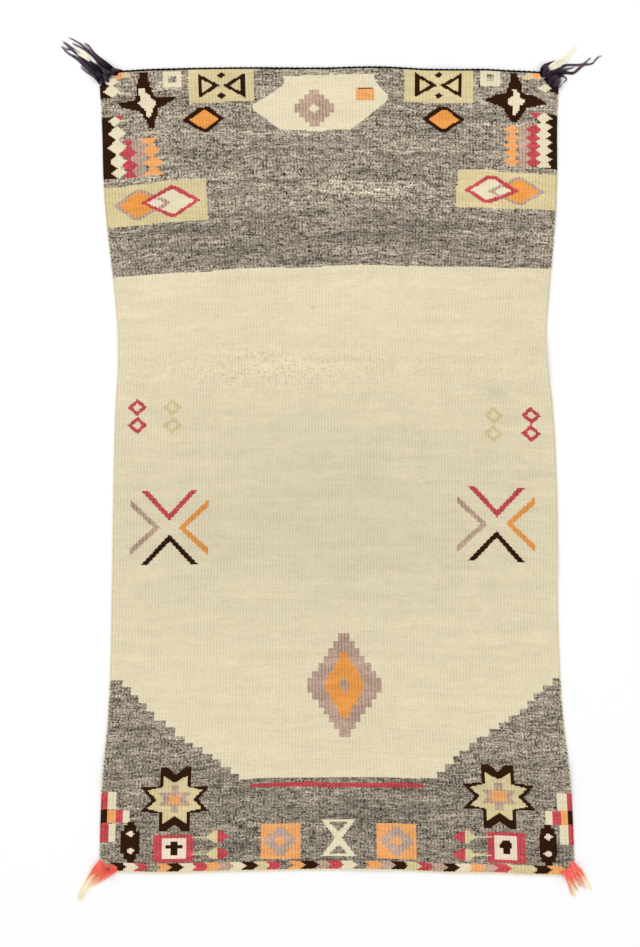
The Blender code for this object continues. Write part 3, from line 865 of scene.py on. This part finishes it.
def loose_wool(row):
    """Wool in locks and plies: each strand differs a little and may change towards its tip."""
    material, tree, shader = wool_base(row["name"])
    along = add_node(tree, "ShaderNodeAttribute", {"attribute_name": "along"}).outputs["Fac"]
    strand = add_node(tree, "ShaderNodeAttribute", {"attribute_name": "strand"}).outputs["Fac"]
    drawn = add_node(tree, "ShaderNodeMath", {"operation": "MULTIPLY_ADD", 1: 0.18, 2: -0.09},
                     {0: strand})
    shifted = add_node(tree, "ShaderNodeMath", {"operation": "ADD"},
                       {0: along, 1: drawn.outputs[0]})
    change = add_node(tree, "ShaderNodeMapRange",
                      {"From Min": row["from"], "From Max": row["to"]},
                      {"Value": shifted.outputs[0]})
    colour = add_node(tree, "ShaderNodeMix",
                      {"data_type": "RGBA", 6: linear(row["root"]), 7: linear(row["tip"])},
                      {0: change.outputs["Result"]})
    # Fibres: a fine streak along each strand, drawn at about 1.5 mm
    fibre_at = add_node(tree, "ShaderNodeTexCoord")
    fibre = add_node(tree, "ShaderNodeTexNoise", {"Scale": 700.0, "Detail": 2.0},
                     {"Vector": fibre_at.outputs["Object"]})
    mixed = add_node(tree, "ShaderNodeMath", {"operation": "ADD"},
                     {0: fibre.outputs["Fac"], 1: strand})
    shade = add_node(tree, "ShaderNodeMapRange",
                     {"From Min": 0.3, "From Max": 1.7,
                      "To Min": 1 - row["vary"], "To Max": 1 + row["vary"]},
                     {"Value": mixed.outputs[0]})
    toned = add_node(tree, "ShaderNodeVectorMath", {"operation": "SCALE"},
                     {0: colour.outputs[2], "Scale": shade.outputs[0]})
    tree.links.new(toned.outputs[0], shader.inputs["Base Color"])
    bump = add_node(tree, "ShaderNodeBump", {"Strength": 0.5, "Distance": 0.0004},
                    {"Height": fibre.outputs["Fac"]})
    tree.links.new(bump.outputs[0], shader.inputs["Normal"])
    return material


weft_materials = [weft_wool(row) for row in WEFTS]
loose = {row["name"]: loose_wool(row) for row in LOOSE_WOOLS}


# Woven cloth

# Soft changes over the cloth: middle, reach across and along, and how much lighter or
# darker it is there
TONES = (
    {"x": -26, "y": -60, "across": 500, "along": 210, "change": -0.13},
    {"x": -150, "y": 322, "across": 250, "along": 16, "change": -0.03},
    {"x": -26, "y": 606, "across": 110, "along": 40, "change": 0.03},
    {"x": 290, "y": 465, "across": 100, "along": 40, "change": 0.10},
    {"x": -26, "y": -620, "across": 600, "along": 60, "change": 0.04},
    {"x": 325, "y": 590, "across": 70, "along": 60, "change": 0.08},
    {"x": 165, "y": 625, "across": 50, "along": 30, "change": 0.07},
    {"x": -26, "y": -517, "across": 400, "along": 5, "change": -0.22},
    {"x": 262, "y": 126, "across": 34, "along": 24, "change": -0.05},
    {"x": -210, "y": -120, "across": 60, "along": 26, "change": -0.03},
    {"x": 160, "y": -30, "across": 90, "along": 30, "change": 0.03},
)
GREY_TONES = (
    {"x": -26, "y": 380, "across": 420, "along": 50, "change": -0.26},
    {"x": 40, "y": 450, "across": 260, "along": 14, "change": 0.10},
    {"x": 50, "y": 451, "across": 70, "along": 5, "change": 0.25},
    {"x": -26, "y": 540, "across": 600, "along": 70, "change": -0.05},
    {"x": -26, "y": -580, "across": 600, "along": 300, "change": -0.24},
)

# Rows packed more loosely than the rest, where painted shade marks the gaps between beads, given
# in the same way
LOOSE_ROWS_GAP_SHADE = (
    {"x": -120, "y": 170, "across": 150, "along": 30, "change": 0.9},
    {"x": 40, "y": 168, "across": 330, "along": 26, "change": 0.5},
)


def changed(table, x, y):
    """Sum of a table's soft changes at points of the cloth."""
    total = np.zeros(len(x))
    for row in table:
        across, along = (x - row["x"]) / row["across"], (y - row["y"]) / row["along"]
        total += row["change"] * np.exp(-across**2 - along**2)
    return total


BAKE_MARGIN = 0.006
RIM_UNFOLD = 3.0


def make_cloth():
    """The closed cloth: ribbed face and back in their yarns, joined by a rim."""
    lines = 2 * COLUMNS + 1
    breaks = []
    for column in range(COLUMNS):
        changes = np.flatnonzero(np.diff(woven[column])) + 1
        breaks.append(sorted({0, ROWS, *changes.tolist(), *range(0, ROWS, FACE_ROWS)}))
    valley = []
    for column in range(COLUMNS + 1):
        beside = [breaks[c] for c in (column - 1, column) if 0 <= c < COLUMNS]
        valley.append(sorted(set().union(*beside)))

    index = {}
    places = []

    def vertex(line, row):
        key = line * (ROWS + 1) + row
        if key not in index:
            index[key] = len(places)
            places.append((line, row))
        return index[key]

    faces = []
    yarns = []
    for column in range(COLUMNS):
        left, crest, right = 2 * column, 2 * column + 1, 2 * column + 2
        rows = breaks[column]
        for low, high in zip(rows, rows[1:]):
            yarn = int(woven[column, low])
            if yarn == NO_YARN:
                continue
            left_rows = [r for r in valley[column] if low <= r <= high]
            right_rows = [r for r in valley[column + 1] if low <= r <= high]
            faces.append([vertex(crest, low), vertex(crest, high)]
                         + [vertex(left, r) for r in reversed(left_rows)])
            faces.append([vertex(crest, high), vertex(crest, low)]
                         + [vertex(right, r) for r in right_rows])
            yarns += [yarn, yarn]

    count = len(places)
    once = {}
    for face, yarn in zip(faces, yarns):
        for a, b in zip(face, face[1:] + face[:1]):
            key = (min(a, b), max(a, b))
            if key in once:
                del once[key]
            else:
                once[key] = (a, b, yarn)
    back_faces = [[v + count for v in reversed(face)] for face in faces]
    rim_faces = [[b, a, a + count, b + count] for a, b, _ in once.values()]
    rim_yarns = [yarn for _, _, yarn in once.values()]

    line = np.array([p[0] for p in places])
    row = np.array([p[1] for p in places])
    x, y, under = line_x[line, row], line_y[line, row], lift[line, row]
    drop = np.where(line % 2, 0.0, np.where(line % 4, FURROW_SHALLOW, FURROW_DEEP))
    front = np.stack([x, y, under + THICKNESS - drop], 1)
    back = np.stack([x, y, under + drop], 1)
    mesh = bpy.data.meshes.new("woven_cloth_piece")
    mesh.from_pydata((np.concatenate([front, back]) * MM).tolist(), [],
                     faces + back_faces + rim_faces)
    mesh.polygons.foreach_set("material_index", yarns + yarns + rim_yarns)
    mesh.polygons.foreach_set("use_smooth", [True] * len(mesh.polygons))
    for material in weft_materials:
        mesh.materials.append(material)

    every_line = np.concatenate([line, line])
    every_row = np.concatenate([row, row])
    side = np.repeat([0.0, 1.0], count)
    weave_place = mesh.attributes.new("weave_place", "FLOAT_VECTOR", "POINT")
    weave_place.data.foreach_set("vector", np.stack(
        [every_line * WARP_PITCH / 2, every_row * ROW_PITCH, side * 37.0], 1).ravel())

    levels = (("tone", 1 + changed(TONES, x, y)), ("grey_tone", 1 + changed(GREY_TONES, x, y)),
              ("loose", changed(LOOSE_ROWS_GAP_SHADE, x, y)))
    for name, level in levels:
        data = mesh.attributes.new(name, "FLOAT", "POINT").data
        data.foreach_set("value", np.concatenate([level, level]))

    ends = np.zeros(len(mesh.edges) * 2, int)
    mesh.edges.foreach_get("vertices", ends)
    ends = ends.reshape(-1, 2)
    first, second = every_line[ends[:, 0]], every_line[ends[:, 1]]
    rims = {key for key in once}
    rims |= {(a + count, b + count) for a, b in once}
    on_rim = np.array([(min(a, b), max(a, b)) in rims for a, b in ends.tolist()])
    sharp = ((first == second) & (first % 2 == 0)) | on_rim
    mesh.attributes.new("sharp_edge", "BOOLEAN", "EDGE").data.foreach_set("value", sharp)

    corner = np.zeros(len(mesh.loops), int)
    mesh.loops.foreach_get("vertex_index", corner)
    flat_corners = sum(len(face) for face in faces)
    plan = np.stack([x, y], 1)
    low, high = plan.min(0) - 2 * RIM_UNFOLD, plan.max(0) + 2 * RIM_UNFOLD
    scale = np.array([0.5 - 2 * BAKE_MARGIN, 1 - 2 * BAKE_MARGIN]) / (high - low)
    base = (plan - low) * scale + BAKE_MARGIN
    middle = plan.mean(0)
    outward = np.sign(plan - middle) * RIM_UNFOLD * scale
    uv = np.zeros((len(corner), 2))
    uv[:flat_corners] = base[corner[:flat_corners]]
    uv[flat_corners:2 * flat_corners] = base[corner[flat_corners:2 * flat_corners] - count]
    uv[flat_corners:2 * flat_corners, 0] += 0.5
    rim_corners = corner[2 * flat_corners:]
    lower = rim_corners >= count
    on_face = rim_corners % count
    uv[2 * flat_corners:] = base[on_face] + outward[on_face] * lower[:, None]
    mesh.uv_layers.new(name="OFBake").uv.foreach_set("vector", uv.ravel())

    thing = bpy.data.objects.new("woven_cloth_piece", mesh)
    bpy.context.collection.objects.link(thing)
    return thing


# Cords and strands

def make_strands(name, paths, radii, sides, materials, material_of, tone, weave_place=None):
    """Thin closed tubes through rows of points: paths is strand, point, axis."""
    strands, points, _ = paths.shape
    ahead = np.gradient(paths, axis=1)
    ahead /= np.linalg.norm(ahead, axis=2, keepdims=True) + 1e-9
    beside = np.cross(ahead, (0.0, 0.0, 1.0))
    beside /= np.linalg.norm(beside, axis=2, keepdims=True) + 1e-9
    above = np.cross(beside, ahead)
    turns = 2 * np.pi * (np.arange(sides) + 0.25) / sides
    ring_out = (beside[:, :, None] * np.cos(turns)[:, None]
                + above[:, :, None] * np.sin(turns)[:, None])
    ring = paths[:, :, None] + ring_out * radii[:, :, None, None]
    number = np.arange(strands * points * sides).reshape(strands, points, sides)
    here, after = number[:, :-1], number[:, 1:]
    quads = np.stack([here, np.roll(here, -1, 2), np.roll(after, -1, 2), after], 3)
    caps = np.concatenate([number[:, 0, ::-1], number[:, -1]])
    mesh = bpy.data.meshes.new(name)
    mesh.from_pydata((ring.reshape(-1, 3) * MM).tolist(), [],
                     quads.reshape(-1, 4).tolist() + caps.tolist())
    used = np.repeat(material_of[:, :-1], sides, axis=1).ravel()
    caps_used = np.concatenate([material_of[:, 0], material_of[:, -1]])
    mesh.polygons.foreach_set("material_index", np.concatenate([used, caps_used]).astype(int))
    mesh.polygons.foreach_set("use_smooth", [sides > 3] * len(mesh.polygons))
    for material in materials:
        mesh.materials.append(material)
    values = (("along", np.tile(np.linspace(0, 1, points), (strands, 1))),
              ("strand", np.tile(tone[:, None], (1, points))),
              ("tone", np.ones((strands, points))),
              ("grey_tone", np.ones((strands, points))))
    for attribute, value in values:
        data = mesh.attributes.new(attribute, "FLOAT", "POINT").data
        data.foreach_set("value", np.repeat(value.ravel(), sides))
    if weave_place is not None:
        data = mesh.attributes.new("weave_place", "FLOAT_VECTOR", "POINT").data
        data.foreach_set("vector", np.repeat(weave_place.reshape(-1, 3), sides, axis=0).ravel())
    thing = bpy.data.objects.new(name, mesh)
    bpy.context.collection.objects.link(thing)
    return thing


CORD_STEP = 0.9
PLY_SIDES = 7
SLUB_LONG = 9.0


def make_cord(name, route, diameter, twist, materials, ply_materials, ply_shares):
    """A cord of two plies twisted round each other along a route, a little uneven."""
    draw = random.Random(name)
    step = np.linalg.norm(np.diff(route, axis=0), axis=1)
    reached = np.concatenate([[0], np.cumsum(step)])
    count = int(reached[-1] / CORD_STEP)
    at = np.linspace(0, reached[-1], count)
    centre = np.stack([np.interp(at, reached, route[:, axis]) for axis in range(3)], 1)
    ahead = np.gradient(centre, axis=0)
    ahead /= np.linalg.norm(ahead, axis=1, keepdims=True)
    beside = np.cross(ahead, (0.0, 0.0, 1.0))
    beside /= np.linalg.norm(beside, axis=1, keepdims=True)
    up = np.array((0.0, 0.0, 1.0))
    slubs = [draw.uniform(0.84, 1.0) for _ in range(int(reached[-1] / SLUB_LONG) + 2)]
    slub = np.interp(at / SLUB_LONG, np.arange(len(slubs)), slubs)
    paths, used, radii, places = [], [], [], []
    for ply, (chosen, share) in enumerate(zip(ply_materials, ply_shares)):
        angle = 2 * np.pi * at / twist + np.pi * ply
        offset = diameter * (0.5 - share)
        paths.append(centre + beside * (np.cos(angle) * offset)[:, None]
                     + up * (np.sin(angle) * offset)[:, None])
        used.append(np.full(count, chosen) if np.isscalar(chosen)
                    else np.array(chosen)[np.searchsorted(reached, at).clip(0, len(chosen) - 1)])
        radii.append(diameter * share * slub)
        places.append(np.stack([np.full(count, -9.0 - ply), at, np.full(count, 11.0)], 1))
    return make_strands(name, np.array(paths), np.array(radii), PLY_SIDES, materials,
                        np.array(used), np.array([0.35, 0.65]), np.array(places))


END_CORD = 4.2
SIDE_CORD = 3.4
CORD_GAP = -0.5
END_TWIST = 17.0
SIDE_TWIST = 7.0


def edge_route(xs, ys, under, outward, diameter):
    """Centre of a cord that lies along an edge of the cloth, at the cloth's height."""
    return np.stack([xs + outward[0] * (diameter / 2 + CORD_GAP),
                     ys + outward[1] * (diameter / 2 + CORD_GAP), under + diameter / 2], 1)


def make_edge_cords():
    """Twined cords: navy at the top, cream at the foot, cream with a ply of weft at the sides."""
    made = {}
    keep = slice(2 * CORNER_COLUMNS, 2 * (COLUMNS - CORNER_COLUMNS) + 1)
    for name, row, way, wool_name in (("end_cord_top_piece", ROWS, 1, "navy_twined_wool"),
                                      ("end_cord_bottom_piece", 0, -1, "cream_twined_wool")):
        route = edge_route(line_x[keep, row], line_y[keep, row], lift[keep, row],
                           (0, way), END_CORD)
        made[name] = make_cord(name, route, END_CORD, END_TWIST, [loose[wool_name]],
                               (0, 0), (0.27, 0.27))
    keep = slice(CORNER_ROWS, ROWS - CORNER_ROWS + 1)
    for name, line, column, way in (("side_cord_left_piece", 0, 0, -1),
                                    ("side_cord_right_piece", 2 * COLUMNS, COLUMNS - 1, 1)):
        route = edge_route(line_x[line, keep], line_y[line, keep], lift[line, keep],
                           (way, 0), SIDE_CORD)
        weft = woven[column, CORNER_ROWS:ROWS - CORNER_ROWS].tolist()
        covered = (YARN["dark"], YARN["red"], YARN["apricot"], YARN["straw"])
        bare = [yarn if yarn in covered else len(weft_materials) for yarn in weft]
        materials = [*weft_materials, loose["cream_twined_wool"]]
        made[name] = make_cord(name, route, SIDE_CORD, SIDE_TWIST, materials,
                               (bare, weft), (0.20, 0.33))
    return made


# Tassels

# Locks: the points that the lock passes, its half width at each, how many strands it
# has and their wool
TASSELS = (
    {"name": "tassel_top_left_piece", "node": "tassel_top_left", "seed": 21, "pile": 5.0,
     "slot": "navy_tassel_wool", "locks": (
        {"path": ((-364.6, 659.2), (-377.8, 670.7), (-392.7, 683.1), (-404.2, 695.5),
                  (-409.2, 702.9), (-417.4, 708.7)),
         "half": (3.5, 3.5, 2.6, 1.5, 1.1, 0.8), "strands": 22, "wool": 0},
        {"path": ((-367.9, 655.9), (-382.8, 669.1), (-397.6, 683.9), (-412.5, 694.6),
                  (-427.3, 702.9), (-435.6, 707.8)),
         "half": (5, 4.5, 3.2, 1.8, 1.2, 0.8), "strands": 30, "wool": 0},
        {"path": ((-369.6, 655.9), (-387.8, 672.4), (-405.9, 690.5), (-419.1, 703.7),
                  (-432.3, 711.1), (-443.8, 717.8)),
         "half": (4, 3, 1.8, 1.2, 0.9, 0.6), "strands": 12, "wool": 0},
        {"path": ((-369.6, 657.5), (-384.4, 672.4), (-399.3, 686.4), (-407.5, 697.1),
                  (-415.8, 705.4)),
         "half": (4, 3, 2, 1.4, 1.6), "strands": 12, "wool": 0},
        {"path": ((-379.5, 646.0), (-396.0, 664.9), (-412.5, 678.1), (-429.0, 692.2),
                  (-440.5, 701.2), (-453.8, 711.1)),
         "half": (6, 5, 3.4, 3.0, 2.4, 0.9), "strands": 44, "wool": 0},
        {"path": ((-382.8, 644.3), (-400.9, 660.8), (-422.4, 678.1), (-438.9, 688.0),
                  (-446.3, 694.6), (-452.9, 702.9)),
         "half": (6, 5, 2.6, 1.0, 1.0, 0.7), "strands": 26, "wool": 0},
        {"path": ((-382.8, 644.3), (-397.6, 662.5), (-417.4, 682.3), (-433.9, 694.6),
                  (-445.5, 697.1), (-455.4, 702.1)),
         "half": (5, 4, 2.6, 1.6, 1.2, 0.8), "strands": 18, "wool": 0},
        {"path": ((-384.4, 642.7), (-397.6, 655.9), (-409.2, 664.9), (-420.8, 670.2)),
         "half": (6, 5.5, 3.4, 1.2), "strands": 40, "wool": 0},
        {"path": ((-387.8, 641.0), (-397.6, 650.9), (-409.2, 658.3), (-423.2, 667.4)),
         "half": (4.5, 3.6, 2.0, 0.8), "strands": 26, "wool": 0},
        {"path": ((-382.8, 642.7), (-392.7, 653.4), (-404.2, 665.8), (-412.5, 674.0)),
         "half": (9, 8, 6, 4), "strands": 60, "wool": 0},
        {"path": ((-369.6, 652.6), (-381.1, 664.1), (-389.4, 672.4), (-394.3, 679.0)),
         "half": (8, 6.5, 5, 3.5), "strands": 44, "wool": 0},
        {"path": ((-372.9, 649.3), (-381.1, 657.5), (-387.8, 663.3)),
         "half": (14, 11, 8), "strands": 60, "wool": 0},
        {"path": ((-358.0, 660.0), (-367.9, 664.1), (-379.5, 671.5)),
         "half": (2.2, 2.6, 1.6), "strands": 12, "wool": 0},
        {"path": ((-358.9, 655.9), (-371.2, 659.2), (-382.8, 669.1)),
         "half": (3, 6, 6), "strands": 34, "wool": 0},
        {"path": ((-352.3, 659.2), (-364.6, 661.6), (-376.2, 665.8)),
         "half": (2, 3, 3), "strands": 14, "wool": 0},
        {"path": ((-373.7, 641.8), (-379.5, 648.4), (-386.1, 655.9)),
         "half": (1.6, 4, 4), "strands": 14, "wool": 0},
        {"path": ((-382.0, 636.1), (-386.9, 644.3), (-392.7, 650.9)),
         "half": (3.5, 4.5, 4), "strands": 20, "wool": 0},
        {"path": ((-405.9, 677.3), (-413.3, 683.9), (-422.4, 690.9), (-434.8, 700.4)),
         "half": (1.8, 3.6, 4.2, 1.6), "strands": 60, "wool": 1},
    )},
    {"name": "tassel_top_right_piece", "node": "tassel_top_right", "seed": 22, "pile": 5.0,
     "slot": "navy_tassel_wool", "locks": (
        {"path": ((344.8, 647.6), (353.1, 655.9), (366.3, 664.1), (379.5, 670.1), (396.0, 670.7),
                  (409.2, 672.4), (416.6, 679.0), (422.4, 683.1)),
         "half": (8, 7, 4, 1.8, 1.4, 1.6, 1.2, 0.5), "strands": 34, "wool": 0},
        {"path": ((349.8, 642.7), (358.0, 650.9), (369.6, 655.9), (379.5, 658.3), (391.0, 657.5),
                  (400.9, 664.9), (409.2, 671.5), (422.4, 673.2), (430.6, 682.3), (438.9, 686.7)),
         "half": (8, 6, 3.4, 2.2, 2.0, 1.8, 1.4, 0.9, 0.6, 0.3), "strands": 40, "wool": 0},
        {"path": ((349.8, 646.0), (359.7, 652.6), (371.2, 660.0), (382.8, 664.9), (394.3, 668.2)),
         "half": (6, 5, 2.4, 1.2, 0.6), "strands": 18, "wool": 0},
        {"path": ((351.4, 641.0), (361.3, 646.8), (371.2, 652.6), (377.8, 650.1), (380.3, 646.0),
                  (372.1, 639.4)),
         "half": (6, 4, 1.6, 0.9, 0.9, 0.8), "strands": 16, "wool": 0},
        {"path": ((338.2, 654.2), (341.5, 665.8), (349.8, 672.4), (358.0, 675.7), (366.3, 676.5)),
         "half": (2.5, 3, 2, 0.9, 0.5), "strands": 18, "wool": 0},
        {"path": ((343.2, 650.9), (351.4, 660.0), (358.0, 666.6)),
         "half": (9, 8, 5), "strands": 50, "wool": 0},
        {"path": ((351.4, 641.0), (359.7, 650.1), (367.9, 657.5)),
         "half": (10, 9, 6), "strands": 60, "wool": 0},
        {"path": ((356.4, 636.1), (364.6, 642.7), (371.2, 646.0)),
         "half": (6, 5, 3), "strands": 36, "wool": 0},
        {"path": ((361.3, 632.8), (367.9, 636.1), (371.2, 640.2)),
         "half": (3.5, 3.5, 2), "strands": 18, "wool": 0},
        {"path": ((344.8, 642.7), (354.8, 650.1), (364.6, 660.8)),
         "half": (5, 7, 6), "strands": 44, "wool": 0},
        {"path": ((353.1, 633.6), (361.3, 641.0), (369.6, 652.6)),
         "half": (4, 6, 5), "strands": 40, "wool": 0},
        {"path": ((336.6, 652.6), (344.8, 656.7), (354.8, 665.8)),
         "half": (4, 6, 6), "strands": 36, "wool": 0},
        {"path": ((348.1, 658.3), (358.0, 667.4), (369.6, 674.0), (381.1, 683.9), (391.0, 693.8),
                  (397.6, 702.1)),
         "half": (4, 5.5, 6.0, 4.8, 3.6, 1.0), "strands": 90, "wool": 1},
    )},
    {"name": "tassel_bottom_left_piece", "node": "tassel_bottom_left", "seed": 23, "pile": 4.5,
     "slot": "coral_tassel_wool", "locks": (
        {"path": ((-384.4, -644.3), (-393.5, -655.9), (-403.4, -669.1), (-413.3, -683.9),
                  (-421.6, -697.1), (-424.9, -709.5)),
         "half": (6, 7, 6, 4.2, 3.2, 1.6), "strands": 80, "wool": 2},
        {"path": ((-372.9, -652.6), (-384.4, -663.3), (-397.6, -675.7), (-409.2, -686.4),
                  (-415.8, -697.9), (-420.8, -710.3)),
         "half": (5, 6, 5, 3.0, 2.6, 1.2), "strands": 60, "wool": 2},
        {"path": ((-379.5, -647.6), (-389.4, -655.9), (-399.3, -667.4), (-405.9, -677.3)),
         "half": (8, 9, 7, 4), "strands": 70, "wool": 3},
        {"path": ((-359.7, -654.2), (-372.9, -652.6), (-386.1, -655.9), (-396.0, -662.5)),
         "half": (2, 5, 5, 3), "strands": 12, "wool": 3},
        {"path": ((-361.3, -656.7), (-374.5, -663.3), (-387.8, -672.4), (-399.3, -682.3)),
         "half": (1.8, 3.6, 3.6, 2), "strands": 30, "wool": 3},
        {"path": ((-387.8, -640.2), (-390.2, -646.0), (-394.3, -654.2)),
         "half": (2.5, 2.8, 2), "strands": 16, "wool": 3},
        {"path": ((-371.2, -650.9), (-379.5, -655.9), (-386.9, -663.3)),
         "half": (4, 5, 4), "strands": 5, "wool": 0},
    )},
    {"name": "tassel_bottom_right_piece", "node": "tassel_bottom_right", "seed": 24, "pile": 4.5,
     "slot": "coral_tassel_wool", "locks": (
        {"path": ((376.2, -657.5), (382.0, -669.1), (386.9, -685.6), (391.0, -701.2)),
         "half": (4, 4, 2.2, 0.9), "strands": 34, "wool": 3},
        {"path": ((377.0, -659.2), (385.3, -672.4), (391.0, -688.9), (395.2, -707.0)),
         "half": (4, 4, 3.2, 1.6), "strands": 34, "wool": 2},
        {"path": ((379.5, -655.9), (387.8, -670.7), (394.3, -683.9), (400.9, -695.5)),
         "half": (4, 3.6, 2.0, 0.8), "strands": 28, "wool": 3},
        {"path": ((381.1, -654.2), (391.0, -669.1), (396.0, -679.0), (399.3, -688.9)),
         "half": (4, 3.4, 2.4, 1.2), "strands": 24, "wool": 2},
        {"path": ((382.8, -652.6), (392.7, -665.8), (399.3, -677.3), (405.1, -687.2)),
         "half": (4, 4, 2.0, 0.8), "strands": 26, "wool": 3},
        {"path": ((384.4, -650.9), (397.6, -664.1), (405.9, -677.3), (413.3, -691.3)),
         "half": (4, 3.6, 2.0, 0.8), "strands": 26, "wool": 3},
        {"path": ((387.8, -649.3), (400.9, -657.5), (410.8, -670.7), (416.6, -682.3),
                  (421.6, -693.0)),
         "half": (4, 4, 3.4, 2.6, 1.2), "strands": 44, "wool": 2},
        {"path": ((379.5, -655.9), (387.8, -660.8), (396.0, -667.4)),
         "half": (9, 11, 8), "strands": 70, "wool": 3},
        {"path": ((388.6, -643.5), (394.3, -650.9), (401.8, -658.3)),
         "half": (2.5, 4, 3), "strands": 30, "wool": 3},
        {"path": ((370.4, -658.3), (376.2, -663.3), (381.1, -670.7)),
         "half": (2, 3, 3), "strands": 22, "wool": 3},
    )},
)
TASSEL_WOOLS = ("navy_tassel_wool", "pale_lock_wool", "coral_dipped_wool", "coral_tassel_wool")

STRAND_POINTS = 16
STRAND_RADIUS = 0.58
STRAND_TIP = 0.14
ROOT_INSIDE = 14.0


def make_tassel(row):
    """Locks of loose wool drawn through the corner: a piled root that thins into wavy tips."""
    draw = random.Random(row["seed"])
    paths, radii, wools, tones = [], [], [], []
    share = np.linspace(0, 1, STRAND_POINTS)
    for lock in row["locks"]:
        stations = len(lock["path"])
        swing = draw.uniform(0, 2 * math.pi)
        for _ in range(lock["strands"]):
            first = draw.uniform(0.0, 0.10)
            last = draw.uniform(0.45, 0.92) if draw.random() < 0.65 else draw.uniform(0.9, 1.0)
            at = (first + (last - first) * share) * (stations - 1)
            weights = spline_weights(stations, at)
            centre = weights @ np.array(lock["path"])
            half = weights @ np.array(lock["half"], float)
            way = np.gradient(centre, axis=0)
            way /= np.linalg.norm(way, axis=1, keepdims=True)
            side = np.stack([-way[:, 1], way[:, 0]], 1)
            gone = np.concatenate([[0], np.cumsum(np.linalg.norm(np.diff(centre, axis=0),
                                                                 axis=1))])
            place = draw.uniform(-1, 1)
            drift = place * half + draw.gauss(0, 0.5) * share
            wave = np.sin(gone / 5.2 + swing + draw.gauss(0, 0.5)) * draw.uniform(0.2, 0.7) * share
            plan = centre + side * (drift + wave)[:, None]
            layer = draw.random() * (1 - 0.7 * place * place)
            over_cloth = THICKNESS * np.clip(1 - (gone - ROOT_INSIDE) / 9.0, 0, 1) ** 1.5
            pile = row["pile"] * layer * np.exp(-((gone - 10) / 17.0) ** 2)
            loft = 0.5 + (1.4 * layer + 0.6 * draw.random()) * (1 - 0.6 * share)
            height = over_cloth + (pile + loft) * np.clip(gone / 5 + 0.15, 0, 1)
            thick = STRAND_RADIUS * draw.uniform(0.75, 1.2)
            paths.append(np.column_stack([plan, np.maximum(height, STRAND_RADIUS + 0.15)]))
            radii.append(thick + (STRAND_TIP - thick) * share ** 1.6)
            wools.append(np.full(STRAND_POINTS, lock["wool"]))
            tones.append(draw.random())
    thing = make_strands(row["name"], np.array(paths), np.array(radii), 3,
                         [loose[name] for name in TASSEL_WOOLS], np.array(wools), np.array(tones))
    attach(thing, "root")
    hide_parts(row["node"])
    return thing


cloth = make_cloth()
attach(cloth, "root")
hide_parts("woven_cloth")

cords = make_edge_cords()
for name, thing in cords.items():
    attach(thing, "root")
    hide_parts(name.removesuffix("_piece"))

tassels = [make_tassel(row) for row in TASSELS]

# Floor, light and camera

def make_floor():
    """A wide pale sweep under the blanket, matt as paper."""
    material = bpy.data.materials.new("white_paper_sweep")
    material.use_nodes = True
    tree = material.node_tree
    shader = tree.nodes["Principled BSDF"]
    shader.inputs["Roughness"].default_value = 0.9
    shader.inputs["Specular IOR Level"].default_value = 0.1
    grain = add_node(tree, "ShaderNodeTexNoise", {"Scale": 3.0, "Detail": 2.0})
    tone = add_node(tree, "ShaderNodeMix", {"data_type": "RGBA", 6: linear("FBFBFB"),
                                            7: linear("FDFDFD")}, {0: grain.outputs["Fac"]})
    tree.links.new(tone.outputs[2], shader.inputs["Base Color"])
    mesh = bpy.data.meshes.new("floor")
    reach, level = 4.0, -0.0003
    mesh.from_pydata([(-reach, -reach, level), (reach, -reach, level),
                      (reach, reach, level), (-reach, reach, level)], [], [(0, 1, 2, 3)])
    mesh.materials.append(material)
    floor = bpy.data.objects.new("floor", mesh)
    bpy.context.collection.objects.link(floor)
    return floor


floor = make_floor()

LIGHTS = (
    {"name": "soft_key", "place": (-1.5, 1.5, 2.6), "size": 1.8, "watts": 24.0},
    {"name": "soft_fill", "place": (1.6, -1.0, 2.8), "size": 2.2, "watts": 9.0},
)
for row in LIGHTS:
    lamp = bpy.data.lights.new(row["name"], "AREA")
    lamp.shape = "DISK"
    lamp.size = row["size"]
    lamp.energy = row["watts"]
    thing = bpy.data.objects.new(row["name"], lamp)
    thing.location = row["place"]
    thing.rotation_euler = (-Vector(row["place"])).to_track_quat("-Z", "Y").to_euler()
    bpy.context.collection.objects.link(thing)

WORLD_STRENGTH = 0.84

scene = bpy.context.scene
world = bpy.data.worlds.new("white_studio")
scene.world = world
world.use_nodes = True
background = world.node_tree.nodes["Background"]
background.inputs["Color"].default_value = (1.0, 1.0, 1.0, 1.0)
background.inputs["Strength"].default_value = WORLD_STRENGTH
scene.view_settings.view_transform = "Standard"

view_data = bpy.data.cameras.new("camera")
view_data.sensor_fit = "VERTICAL"
view_data.sensor_width = SENSOR
view_data.sensor_height = SENSOR
view_data.lens = SENSOR * CAMERA_HEIGHT / PICTURE_HIGH
view_data.clip_end = 50.0
camera = bpy.data.objects.new("camera", view_data)
camera.location = (PICTURE_CENTRE[0] * MM, PICTURE_CENTRE[1] * MM, CAMERA_HEIGHT * MM)
bpy.context.collection.objects.link(camera)
scene.camera = camera
